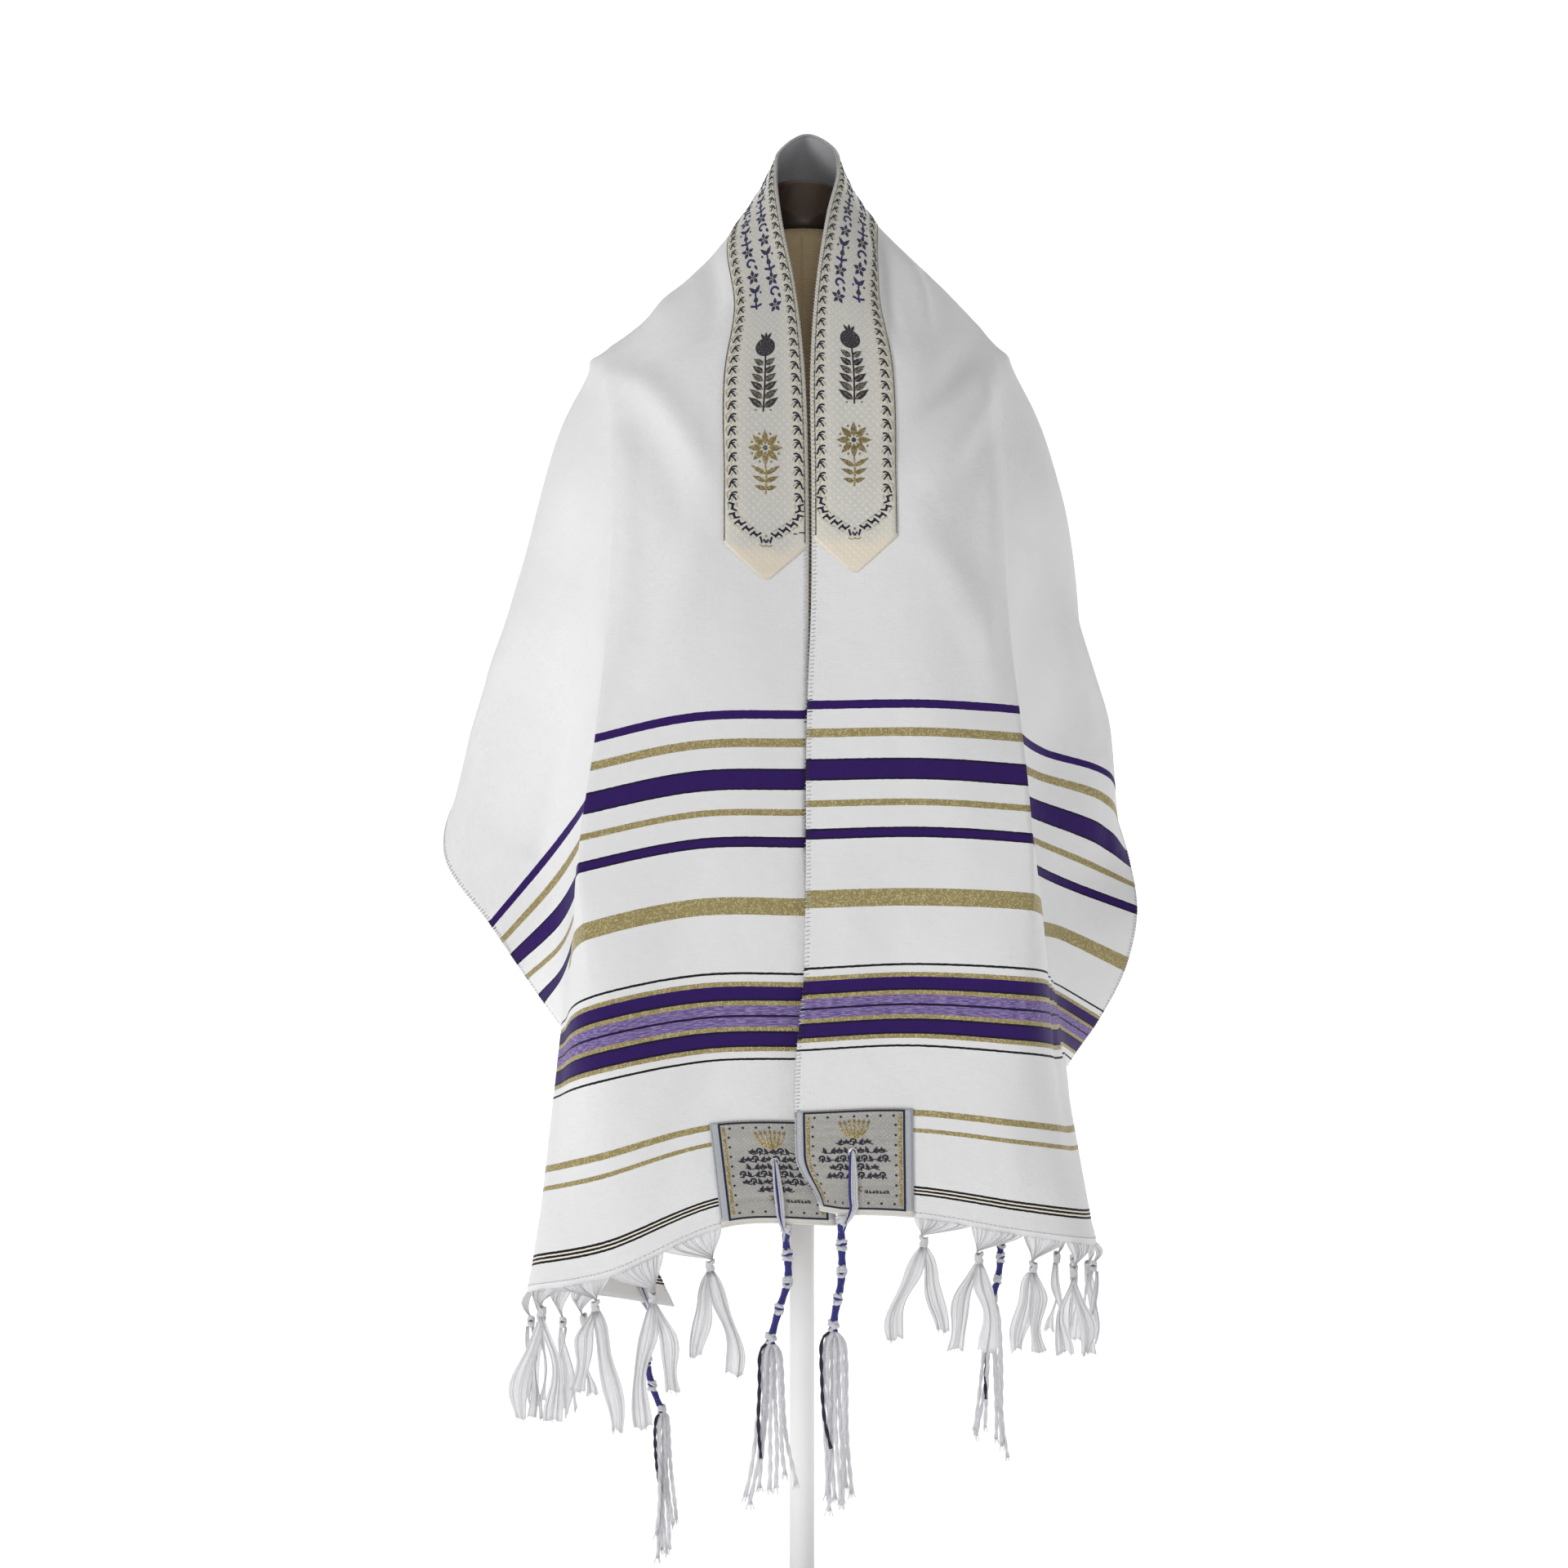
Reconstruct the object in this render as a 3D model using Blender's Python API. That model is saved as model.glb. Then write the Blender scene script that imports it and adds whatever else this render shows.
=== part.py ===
"""A tallit prayer shawl draped over a limbless dress form on a round-footed stand.

The shawl is one woven cloth. Its drape is a net of sections: each section is a line across
the cloth from its neck edge to its lower edge, at a stated distance from the fringed end.
Lengths in the tables are millimetres and angles are not used. The x axis runs to the
viewer's right, y runs away from the viewer and z runs up from the floor.
"""

import math
from dataclasses import dataclass

import bmesh
import bpy
import numpy as np
from mathutils import Matrix, Vector

# Flat cloth
CLOTH_LENGTH = 1.830
CLOTH_WIDTH = 0.510
CLOTH_WALL = 0.0012
HALF_LENGTH = CLOTH_LENGTH / 2
STRETCH_FROM_END = 0.700
PIECE_GAP = 0.0003

# Height of the sections' zero level above the floor
DATUM = 0.720

# Neck band and corner patches
BAND_WALL = 0.0009
BAND_FROM_END = 0.510
BAND_CORNER = 0.004
BAND_POINT = 0.030
PATCH_WALL = 0.0008
PATCH_SIDE = 0.088
SEAT_GAP = 0.0005
EYELET_RADIUS = 0.0060

# Fringe
FRINGE_CELLS = 16
STRIP_HEIGHT = 0.005
STRIP_WALL = 0.0018
TUFT_KNOT = (0.0085, 0.0070)
TAIL_HALF = (0.0045, 0.0011)

# Corner tassels
CORD_HALF = 0.0014
CORD_CLEARANCE = 0.0020
STRAND_HALF = 0.0009
WINDING_RADIUS = 0.0030
KNOT_RADIUS = 0.0046
WINDINGS = 5

# Dress form and stand
FORM_SIDES = 28
CAP_SIDES = 24
POLE_RADIUS = 0.010
POLE_TOP = 0.4797
BASE_RADIUS = 0.170
BASE_HEIGHT = 0.012
BASE_EDGE = 0.003
SOCKET_RADIUS = 0.019
SOCKET_TOP = 0.046

# Distance of the grid's lines from the neck edge, and of the tables' columns
V_NET = (0.0, 0.085, 0.170, 0.255, 0.340, 0.425, 0.510)
V_LINES = (
    *(PATCH_SIDE * k / 4 for k in range(3)),
    0.064,
    *(PATCH_SIDE + (CLOTH_WIDTH - 2 * PATCH_SIDE) * k / 16 for k in range(17)),
    *(CLOTH_WIDTH - PATCH_SIDE * (3 - k) / 4 for k in range(4)),
)
BAND_LINES = 3


@dataclass(frozen=True)
class Section:
    """One line across the cloth: where seven of its points hang, from neck edge to lower edge."""

    u: float
    neck: tuple
    band: tuple
    crease: tuple
    side: tuple
    turn: tuple
    ridge: tuple
    lower: tuple

    def points(self):
        rows = (self.neck, self.band, self.crease, self.side, self.turn, self.ridge, self.lower)
        return np.array(rows, float) / 1000 + (0, 0, DATUM)


LEFT_SECTIONS = (
    Section(0.0000, (25, -150, -330), (-58, -158, -330), (-142, -165, -365), (-204, -148, -380),
            (-196, -70, -395), (-163, 8, -415), (-107, 75, -438)),
    Section(0.1370, (14, -146, -206), (-72, -152, -207), (-154, -160, -222), (-187, -110, -240),
            (-188, -33, -262), (-195, 45, -285), (-165, 118, -317)),
    Section(0.2425, (6, -142, -96), (-80, -150, -96), (-163, -154, -114), (-179, -88, -140),
            (-184, -8, -170), (-196, 68, -205), (-182, 140, -245)),
    Section(0.2950, (3, -140, -45), (-80, -150, -46), (-168, -148, -64), (-175, -68, -85),
            (-184, 12, -120), (-200, 82, -158), (-223, 132, -186)),
    Section(0.3925, (4, -138, 51), (-81, -146, 49), (-157, -136, 33), (-160, -53, 10),
            (-178, 25, -20), (-212, 72, -62), (-262, 92, -120)),
    Section(0.4700, (4, -133, 129), (-80, -143, 128), (-149, -120, 110), (-160, -40, 90),
            (-195, 30, 55), (-259, 68, 2), (-300, 85, -62)),
    Section(0.5600, (4, -125, 219), (-80, -134, 218), (-145, -104, 203), (-180, -28, 168),
            (-236, 22, 125), (-272, 72, 62), (-285, 128, 0)),
    Section(0.6500, (1, -108, 317), (-80, -112, 308), (-151, -72, 285), (-204, -15, 245),
            (-232, 52, 190), (-231, 112, 120), (-218, 155, 38)),
    Section(0.7200, (-9, -88, 384), (-70, -86, 364), (-152, -36, 336), (-190, 22, 302),
            (-194, 83, 232), (-178, 128, 150), (-162, 155, 60)),
    Section(0.7800, (-20, -66, 440), (-74, -45, 412), (-141, -5, 359), (-142, 62, 325),
            (-140, 105, 240), (-125, 132, 155), (-113, 150, 65)),
    Section(0.8400, (-20, -32, 488), (-58, 10, 440), (-78, 60, 375), (-80, 94, 310),
            (-73, 115, 225), (-65, 130, 142), (-60, 145, 58)),
    Section(0.8750, (-17, -2, 511), (-40, 42, 454), (-42, 82, 376), (-43, 104, 301),
            (-38, 118, 216), (-34, 130, 133), (-31, 142, 51)),
    Section(0.9150, (4, 19, 530), (0, 66, 458), (0, 92, 375), (0, 108, 295),
            (0, 120, 210), (0, 130, 127), (0, 140, 45)),
)

RIGHT_SECTIONS = (
    Section(0.0000, (-5, -160, -320), (79, -162, -322), (162, -160, -336), (218, -130, -348),
            (220, -48, -357), (198, 35, -367), (150, 100, -377)),
    Section(0.1370, (-5, -153, -199), (80, -154, -195), (164, -152, -201), (197, -100, -210),
            (207, -18, -216), (218, 62, -224), (232, 125, -236)),
    Section(0.1875, (0, -150, -149), (84, -151, -145), (168, -150, -149), (192, -88, -158),
            (200, -6, -168), (216, 62, -178), (254, 115, -202)),
    Section(0.2425, (3, -147, -90), (87, -148, -88), (172, -144, -92), (186, -75, -108),
            (194, 5, -120), (218, 60, -128), (275, 98, -156)),
    Section(0.2950, (6, -142, -39), (89, -146, -37), (172, -140, -42), (178, -60, -58),
            (190, 16, -70), (225, 62, -86), (282, 78, -107)),
    Section(0.3440, (6, -139, 10), (90, -144, 11), (169, -132, 6), (170, -50, -10),
            (188, 20, -20), (248, 66, -42), (279, 105, -65)),
    Section(0.3925, (8, -138, 58), (91, -144, 59), (164, -120, 55), (170, -42, 40),
            (198, 28, 25), (257, 70, 7), (272, 140, -28)),
    Section(0.4700, (8, -133, 135), (91, -142, 134), (157, -108, 122), (178, -32, 115),
            (221, 30, 86), (253, 82, 44), (258, 156, 2)),
    Section(0.5600, (8, -125, 225), (90, -132, 224), (152, -94, 211), (192, -27, 180),
            (228, 32, 128), (243, 95, 72), (226, 162, 25)),
    Section(0.6500, (11, -106, 324), (88, -110, 314), (153, -62, 295), (201, -8, 248),
            (213, 58, 190), (205, 112, 120), (182, 160, 42)),
    Section(0.7200, (18, -86, 392), (78, -84, 369), (149, -30, 345), (186, 25, 305),
            (184, 83, 232), (166, 128, 150), (142, 155, 60)),
    Section(0.7800, (25, -64, 446), (71, -43, 421), (131, 0, 375), (138, 62, 325),
            (136, 105, 240), (120, 132, 155), (105, 150, 65)),
    Section(0.8400, (28, -30, 491), (56, 12, 442), (76, 60, 375), (78, 94, 310),
            (71, 115, 225), (62, 130, 142), (56, 145, 58)),
    Section(0.8750, (25, -2, 513), (41, 42, 455), (42, 82, 375), (42, 104, 301),
            (37, 118, 216), (33, 130, 133), (30, 142, 51)),
)


@dataclass(frozen=True)
class Flute:
    """One hanging fold: outward where depth is positive. side is -1 for left and 1 for right."""

    side: int
    u: float
    half_width: float
    depth: float
    v_start: float


FLUTES = (
    Flute(-1, 0.640, 0.050, -0.016, 0.19),
    Flute(-1, 0.725, 0.048, 0.022, 0.19),
    Flute(-1, 0.800, 0.044, -0.018, 0.20),
    Flute(-1, 0.868, 0.040, 0.018, 0.22),
    Flute(1, 0.495, 0.045, 0.010, 0.24),
    Flute(1, 0.575, 0.045, -0.016, 0.20),
    Flute(1, 0.650, 0.045, 0.024, 0.20),
    Flute(1, 0.725, 0.045, -0.026, 0.20),
    Flute(1, 0.800, 0.045, 0.026, 0.20),
    Flute(1, 0.872, 0.040, -0.018, 0.22),
)


@dataclass(frozen=True)
class Tuft:
    """One knotted tuft of the fringe, in millimetres: its knot lies sway along the hem and drop
    below it, and each tail ends lean along the hem and length below the knot."""

    side: int
    sway: float
    drop: float
    lean_a: float
    length_a: float
    lean_b: float
    length_b: float


# From the neck edge's patch to the lower edge's one, at each end of the cloth
TUFTS = (
    Tuft(-1, -13, 20, -18, 78, 9, 63),
    Tuft(-1, -12, 25, -16, 66, 9, 92),
    Tuft(-1, -7, 18, -15, 88, 13, 60),
    Tuft(-1, 3, 17, -13, 76, 20, 79),
    Tuft(-1, 5, 24, 2, 68, 14, 60),
    Tuft(-1, -3, 20, -8, 72, 8, 64),
    Tuft(-1, 4, 26, -8, 62, 7, 70),
    Tuft(-1, -2, 21, -9, 66, 8, 58),
    Tuft(1, -14, 15, -21, 69, 12, 62),
    Tuft(1, -14, 20, -19, 64, 8, 66),
    Tuft(1, -9, 21, -12, 56, 5, 60),
    Tuft(1, -6, 21, -14, 55, 14, 60),
    Tuft(1, 4, 19, 0, 62, 12, 56),
    Tuft(1, -2, 22, -9, 60, 8, 63),
    Tuft(1, 2, 20, -8, 58, 9, 64),
    Tuft(1, -3, 21, -8, 63, 8, 57),
)


@dataclass(frozen=True)
class Corner:
    """One corner tassel: where its eyelet is, the line its knots follow, and where strands end."""

    name: str
    side: int
    v: float
    knots: tuple
    ends: tuple


EYELET_U = 0.050
CORNERS = (
    Corner("front_left", -1, 0.040,
           ((-13, -153, -341), (-12, -154, -372), (-18, -154, -391), (-25, -154, -416)),
           ((-49, -158, -537), (-30, -150, -530), (-22, -157, -522), (-6, -151, -519))),
    Corner("front_right", 1, 0.040,
           ((28, -161, -333), (28, -161, -369), (23, -161, -396), (22, -161, -406)),
           ((14, -165, -528), (21, -157, -537), (29, -164, -533), (35, -158, -524))),
    Corner("back_left", -1, 0.478,
           ((-123, 52, -443), (-128, 51, -474), (-120, 51, -509), (-115, 51, -520)),
           ((-124, 46, -612), (-117, 54, -641), (-110, 47, -634), (-105, 55, -606))),
    Corner("back_right", 1, 0.478,
           ((167, 73, -386), (166, 73, -406), (162, 73, -424), (160, 73, -432)),
           ((143, 69, -547), (149, 77, -531), (166, 70, -545), (173, 76, -556))),
)


@dataclass(frozen=True)
class FormSection:
    """One level of the dress form: half width, half depth, and how far back its middle lies."""

    z: float
    half_width: float
    half_depth: float
    back: float


TORSO_SECTIONS = (
    FormSection(-240, 96, 66, 4),
    FormSection(-232, 108, 76, 4),
    FormSection(-170, 126, 90, 2),
    FormSection(-100, 121, 86, 2),
    FormSection(-20, 101, 72, 2),
    FormSection(50, 104, 74, 0),
    FormSection(120, 119, 84, -4),
    FormSection(190, 132, 88, 2),
    FormSection(250, 144, 82, 10),
    FormSection(295, 153, 68, 17),
    FormSection(326, 151, 58, 21),
    FormSection(346.6, 130.8, 51.6, 21.8),
    FormSection(365, 100, 48, 20),
    FormSection(386, 68, 45, 17),
    FormSection(404, 48, 41, 13),
    FormSection(422, 38, 36, 12),
    FormSection(444, 35.5, 33.5, 12),
)
CAP_SECTIONS = (
    FormSection(444.4, 33.5, 31.5, 11),
    FormSection(447, 34.5, 33, 11),
    FormSection(463, 31, 30, 10),
    FormSection(477, 28.5, 27, 9),
    FormSection(482.5, 27, 25.5, 9),
    FormSection(485, 23, 22, 9),
)


def clear_scene():
    for obj in list(bpy.data.objects):
        bpy.data.objects.remove(obj, do_unlink=True)


def material(name, colour, roughness):
    finish = bpy.data.materials.new(name)
    finish.use_nodes = True
    shader = finish.node_tree.nodes["Principled BSDF"]
    shader.inputs["Base Color"].default_value = (*colour, 1)
    shader.inputs["Roughness"].default_value = roughness
    return finish


class Solid:
    """Points and faces of one node, with the faces wound to face outward."""

    def __init__(self):
        self.points = []
        self.faces = []

    def add(self, points):
        first = len(self.points)
        self.points.extend(tuple(float(c) for c in p) for p in points)
        return list(range(first, len(self.points)))

    def face(self, *indices):
        self.faces.append(tuple(indices))

    def quad(self, a, b, c, d):
        self.faces.append((a, b, c))
        self.faces.append((a, c, d))

    def bridge(self, ring, following):
        """Joins two rings of the same count, both running anticlockwise seen from the far end."""
        for k in range(len(ring)):
            n = (k + 1) % len(ring)
            self.quad(ring[k], ring[n], following[n], following[k])

    def build(self, name, finish):
        mesh = bpy.data.meshes.new(name)
        mesh.from_pydata(self.points, [], self.faces)
        mesh.materials.append(finish)
        obj = bpy.data.objects.new(name, mesh)
        bpy.context.scene.collection.objects.link(obj)
        return obj


def slopes(knots, values):
    """Tangents of a curve through uneven knots, each a mean of the slopes on its two sides."""
    steps = np.diff(knots)
    shape = (-1,) + (1,) * (values.ndim - 1)
    rates = np.diff(values, axis=0) / steps.reshape(shape)
    before = steps[:-1].reshape(shape)
    after = steps[1:].reshape(shape)
    inner = (rates[:-1] * after + rates[1:] * before) / (before + after)
    return np.concatenate([rates[:1], inner, rates[-1:]])


def curve(knots, values, where):
    """Cubic Hermite curve through values at knots, read at each of where."""
    knots = np.asarray(knots, float)
    tangents = slopes(knots, values)
    where = np.asarray(where, float)
    span = np.clip(np.searchsorted(knots, where) - 1, 0, len(knots) - 2)
    shape = (-1,) + (1,) * (values.ndim - 1)
    step = (knots[span + 1] - knots[span]).reshape(shape)
    t = ((where - knots[span]) / step.reshape(-1)).reshape(shape)
    return (
        (2 * t**3 - 3 * t**2 + 1) * values[span]
        + (t**3 - 2 * t**2 + t) * step * tangents[span]
        + (3 * t**2 - 2 * t**3) * values[span + 1]
        + (t**3 - t**2) * step * tangents[span + 1]
    )


class Drape:
    """The hung cloth as a surface of (s, v): s runs from the left end, 0 at the back's middle."""

    def __init__(self):
        left = [(row.u - HALF_LENGTH, row.points()) for row in LEFT_SECTIONS]
        right = [(HALF_LENGTH - row.u, row.points()) for row in reversed(RIGHT_SECTIONS)]
        self.knots = [at for at, _ in left + right]
        self.rows = np.array([points for _, points in left + right])

    def plain(self, s, v):
        net = curve(self.knots, self.rows, s)
        return np.swapaxes(curve(V_NET, np.swapaxes(net, 0, 1), v), 0, 1)

    def plain_normals(self, s, v):
        e = 0.001
        along = self.plain(s + e, v) - self.plain(s - e, v)
        across = self.plain(s, v + e) - self.plain(s, v - e)
        normals = np.cross(along, across)
        return normals / np.linalg.norm(normals, axis=2, keepdims=True)

    def fluting(self, s, v):
        total = np.zeros((len(s), len(v)))
        for flute in FLUTES:
            middle = flute.side * (HALF_LENGTH - flute.u)
            a = np.clip(1 - np.abs(s - middle) / (2 * flute.half_width), 0, 1)
            hang = np.clip((v - flute.v_start) / (CLOTH_WIDTH - flute.v_start), 0, 1) ** 1.3
            total += flute.depth * np.outer(a * a * (3 - 2 * a), hang)
        return total

    def at(self, s, v):
        """Points of the cloth's middle surface, as an array of len(s) by len(v) by 3."""
        s = np.asarray(s, float)
        v = np.asarray(v, float)
        out = self.fluting(s, v)[..., None] * self.plain_normals(s, v)
        return self.plain(s, v) + out

    def normals(self, s, v):
        s = np.asarray(s, float)
        v = np.asarray(v, float)
        e = 0.002
        along = self.at(s + e, v) - self.at(s - e, v)
        across = self.at(s, v + e) - self.at(s, v - e)
        normals = np.cross(along, across)
        return normals / np.linalg.norm(normals, axis=2, keepdims=True)

    def frame(self, side, u, v):
        """Point, outward normal and unit direction toward the fringed end, at one place."""
        s = side * (HALF_LENGTH - u)
        point = self.at([s], [v])[0, 0]
        normal = self.normals([s], [v])[0, 0]
        ahead = self.at([s + side * 0.004], [v])[0, 0] - point
        return point, normal, ahead / np.linalg.norm(ahead)


def shell(solid, points, normals, inner, outer):
    """A wall over a grid of points, from inner to outer along their normals."""
    rows, columns = points.shape[:2]
    top = np.array(solid.add((points + normals * outer).reshape(-1, 3))).reshape(rows, columns)
    low = np.array(solid.add((points + normals * inner).reshape(-1, 3))).reshape(rows, columns)
    for i in range(rows - 1):
        for j in range(columns - 1):
            solid.quad(top[i, j], top[i + 1, j], top[i + 1, j + 1], top[i, j + 1])
            solid.quad(low[i, j], low[i, j + 1], low[i + 1, j + 1], low[i + 1, j])
    rim = [(i, 0) for i in range(rows)]
    rim += [(rows - 1, j) for j in range(1, columns)]
    rim += [(i, columns - 1) for i in range(rows - 2, -1, -1)]
    rim += [(0, j) for j in range(columns - 2, 0, -1)]
    for a, b in zip(rim, rim[1:] + rim[:1]):
        solid.quad(top[b], top[a], low[a], low[b])


def end_lines():
    """Lines across one end of the cloth, from its fringed edge to where the back stretch starts."""
    patch = [PATCH_SIDE * k / 4 for k in range(5)]
    rest = np.linspace(PATCH_SIDE, STRETCH_FROM_END, 25)[1:]
    return np.array([*patch, *rest])


def back_lines():
    reach = HALF_LENGTH - STRETCH_FROM_END
    return np.linspace(-reach, reach, 23)


def cut(obj, cutter):
    """Subtracts cutter from obj for good and removes the cutter."""
    step = obj.modifiers.new("cut", "BOOLEAN")
    step.operation = "DIFFERENCE"
    step.solver = "EXACT"
    step.object = cutter
    bpy.context.view_layer.update()
    graph = bpy.context.evaluated_depsgraph_get()
    mesh = bpy.data.meshes.new_from_object(obj.evaluated_get(graph))
    obj.modifiers.clear()
    obj.data = mesh
    bpy.data.objects.remove(cutter, do_unlink=True)


def eyelet_cutter(drape, corner):
    point, normal, _ = drape.frame(corner.side, EYELET_U, corner.v)
    turn = Vector((0, 0, 1)).rotation_difference(Vector(normal)).to_matrix().to_4x4()
    mesh = bpy.data.meshes.new("eyelet")
    shape = bmesh.new()
    bmesh.ops.create_cone(
        shape,
        cap_ends=True,
        segments=12,
        radius1=EYELET_RADIUS,
        radius2=EYELET_RADIUS,
        depth=0.02,
        matrix=Matrix.Translation(Vector(point)) @ turn,
    )
    shape.to_mesh(mesh)
    shape.free()
    obj = bpy.data.objects.new("eyelet", mesh)
    bpy.context.scene.collection.objects.link(obj)
    return obj


def cloth_stretch(drape, name, s, finish):
    solid = Solid()
    half = CLOTH_WALL / 2
    shell(solid, drape.at(s, V_LINES), drape.normals(s, V_LINES), -half, half)
    return solid.build(name, finish)


def build_shawl(drape, finish):
    """The three stretches of the cloth, parted by the gap between pieces."""
    u = end_lines()
    back = back_lines()
    back[0] += PIECE_GAP
    back[-1] -= PIECE_GAP
    left = cloth_stretch(drape, "shawl_left", u - HALF_LENGTH, finish)
    cloth_stretch(drape, "shawl_back", back, finish)
    right = cloth_stretch(drape, "shawl_right", HALF_LENGTH - u[::-1], finish)
    for corner in CORNERS:
        cut(left if corner.side < 0 else right, eyelet_cutter(drape, corner))


def build_band(drape, finish):
    """The neck band: it follows the cloth's own lines, and ends in a point at each end."""
    lines = end_lines()
    end = lines[lines > BAND_FROM_END]
    ends = np.array([end[0] - BAND_CORNER, *end])
    s = np.concatenate([ends - HALF_LENGTH, back_lines()[1:-1], HALF_LENGTH - ends[::-1]])
    v = V_LINES[: BAND_LINES + 1]
    points = drape.at(s, v)
    normals = drape.normals(s, v)
    for row, side in ((0, -1), (-1, 1)):
        tip = side * (HALF_LENGTH - end[0] + BAND_POINT)
        points[row, 1:3] = drape.at([tip], [v[3] / 2 - 0.004, v[3] / 2 + 0.004])[0]
    inner = CLOTH_WALL / 2 + SEAT_GAP
    solid = Solid()
    shell(solid, points, normals, inner, inner + BAND_WALL)
    solid.build("neck_band", finish)


def build_patches(drape, finish):
    inner = CLOTH_WALL / 2 + SEAT_GAP
    for corner in CORNERS:
        u = end_lines()[:5]
        s = u - HALF_LENGTH if corner.side < 0 else HALF_LENGTH - u[::-1]
        v = V_LINES[:5] if corner.v < CLOTH_WIDTH / 2 else V_LINES[-5:]
        solid = Solid()
        shell(solid, drape.at(s, v), drape.normals(s, v), inner, inner + PATCH_WALL)
        patch = solid.build("patch_" + corner.name, finish)
        cut(patch, eyelet_cutter(drape, corner))


def grow(solid, root, centres, offsets):
    """Grows a lock from the ring root along centres, each ring the offsets about its centre."""
    ring = root
    for centre, scale in centres:
        following = solid.add(centre + offset * scale for offset in offsets)
        solid.bridge(ring, following)
        ring = following
    solid.quad(*ring)


def between_lines(v, values):
    """Values at v on the straight runs between the cloth's own lines."""
    return np.stack([np.interp(v, V_LINES, values[:, k]) for k in range(3)], axis=1)


def build_fringe(drape, side, name, finish):
    """A narrow strip below one end of the cloth, with knotted tufts of two tails each."""
    v = np.linspace(PATCH_SIDE, CLOTH_WIDTH - PATCH_SIDE, FRINGE_CELLS + 1)
    s = [side * HALF_LENGTH]
    hem = drape.at(s, V_LINES)[0]
    above = drape.at([side * (HALF_LENGTH - 0.006)], V_LINES)[0]
    edge = between_lines(v, hem)
    normal = between_lines(v, drape.normals(s, V_LINES)[0])
    ahead = edge - between_lines(v, above)
    ahead -= normal * np.sum(ahead * normal, axis=1, keepdims=True)
    ahead /= np.linalg.norm(ahead, axis=1, keepdims=True)
    half = STRIP_WALL / 2
    upper = edge + ahead * PIECE_GAP
    lower = upper + ahead * STRIP_HEIGHT
    solid = Solid()
    front_up = solid.add(upper + normal * half)
    back_up = solid.add(upper - normal * half)
    front_low = solid.add(lower + normal * half)
    back_low = solid.add(lower - normal * half)
    for k in range(FRINGE_CELLS):
        n = k + 1
        quads = [
            (front_up[k], front_up[n], front_low[n], front_low[k]),
            (back_up[n], back_up[k], back_low[k], back_low[n]),
            (back_up[k], back_up[n], front_up[n], front_up[k]),
        ]
        for quad in quads:
            solid.quad(*(quad if side < 0 else quad[::-1]))
    for k, turned in ((0, side > 0), (FRINGE_CELLS, side < 0)):
        quad = (front_up[k], front_low[k], back_low[k], back_up[k])
        solid.quad(*(quad[::-1] if turned else quad))
    for place, tuft in enumerate(row for row in TUFTS if row.side == side):
        k = 2 * place
        root = [front_low[k], front_low[k + 1], front_low[k + 2]]
        root += [back_low[k + 2], back_low[k + 1], back_low[k]]
        tuft_below(solid, tuft, root, side)
    solid.build(name, finish)


def tuft_below(solid, tuft, root, side):
    """A fan of yarn drawn into a knot, and two tails that hang from it."""
    corners = np.array([solid.points[i] for i in root])
    along = corners[2] - corners[0]
    along[2] = 0
    along /= np.linalg.norm(along)
    depth = np.cross(along, (0, 0, 1))
    depth *= np.sign(np.dot(depth, corners[0] - corners[5]))
    middle = corners.mean(axis=0) + along * tuft.sway / 1000 - (0, 0, tuft.drop / 1000)
    signs = ((-1, 1), (0, 1), (1, 1), (1, -1), (0, -1), (-1, -1))
    ring = root
    wide, deep = TUFT_KNOT
    for fall, width, thick in ((-0.008, 0.75, 0.7), (0, 0.5, 0.5), (0.006, 0.5, 0.5), (0.010, 0.32, 0.3)):
        centre = middle - (0, 0, fall)
        following = solid.add(
            centre + along * a * wide * width + depth * b * deep * thick for a, b in signs
        )
        bridge_facing(solid, ring, following, side)
        ring = following
    tails = (
        ((ring[0], ring[1], ring[4], ring[5]), tuft.lean_a, tuft.length_a),
        ((ring[1], ring[2], ring[3], ring[4]), tuft.lean_b, tuft.length_b),
    )
    for root_quad, lean, length in tails:
        tail_below(solid, root_quad, along, depth, lean / 1000, length / 1000, side)


def bridge_facing(solid, ring, following, side):
    for k in range(len(ring)):
        n = (k + 1) % len(ring)
        quad = (ring[k], ring[n], following[n], following[k])
        solid.quad(*(quad if side < 0 else quad[::-1]))


def tail_below(solid, root, along, depth, lean, length, side):
    start = np.mean([solid.points[i] for i in root], axis=0)
    half_wide, half_deep = TAIL_HALF
    ring = list(root)
    for part, scale in ((0.12, 0.8), (0.4, 1.1), (0.72, 1.2), (1.0, 0.9)):
        bow = math.sin(part * math.pi / 2)
        centre = start + along * lean * bow - np.array((0, 0, length * part))
        signs = ((-1, 1), (1, 1), (1, -1), (-1, -1))
        following = solid.add(
            centre + along * a * half_wide * scale + depth * b * half_deep * scale for a, b in signs
        )
        bridge_facing(solid, ring, following, side)
        ring = following
    solid.quad(*(ring if side < 0 else ring[::-1]))


RING_ANGLES = [math.radians(-135 + 30 * k) for k in range(12)]
CORE_ANGLES = [math.radians(-135 + 90 * k) for k in range(4)]


def cap_cells(ring, core):
    """The nine cells of a round cap: a ring of twelve about a core of four, both anticlockwise."""
    grid = {}
    rim = [(0, 0), (1, 0), (2, 0), (3, 0), (3, 1), (3, 2), (3, 3), (2, 3), (1, 3), (0, 3), (0, 2), (0, 1)]
    grid.update(zip(rim, ring))
    grid.update(zip([(1, 1), (2, 1), (2, 2), (1, 2)], core))
    cells = {}
    for i in range(3):
        for j in range(3):
            cells[i, j] = (grid[i, j], grid[i + 1, j], grid[i + 1, j + 1], grid[i, j + 1])
    return cells


def ring_about(solid, centre, x_axis, y_axis, radius, angles):
    return solid.add(
        centre + radius * (math.cos(a) * x_axis + math.sin(a) * y_axis) for a in angles
    )


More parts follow.
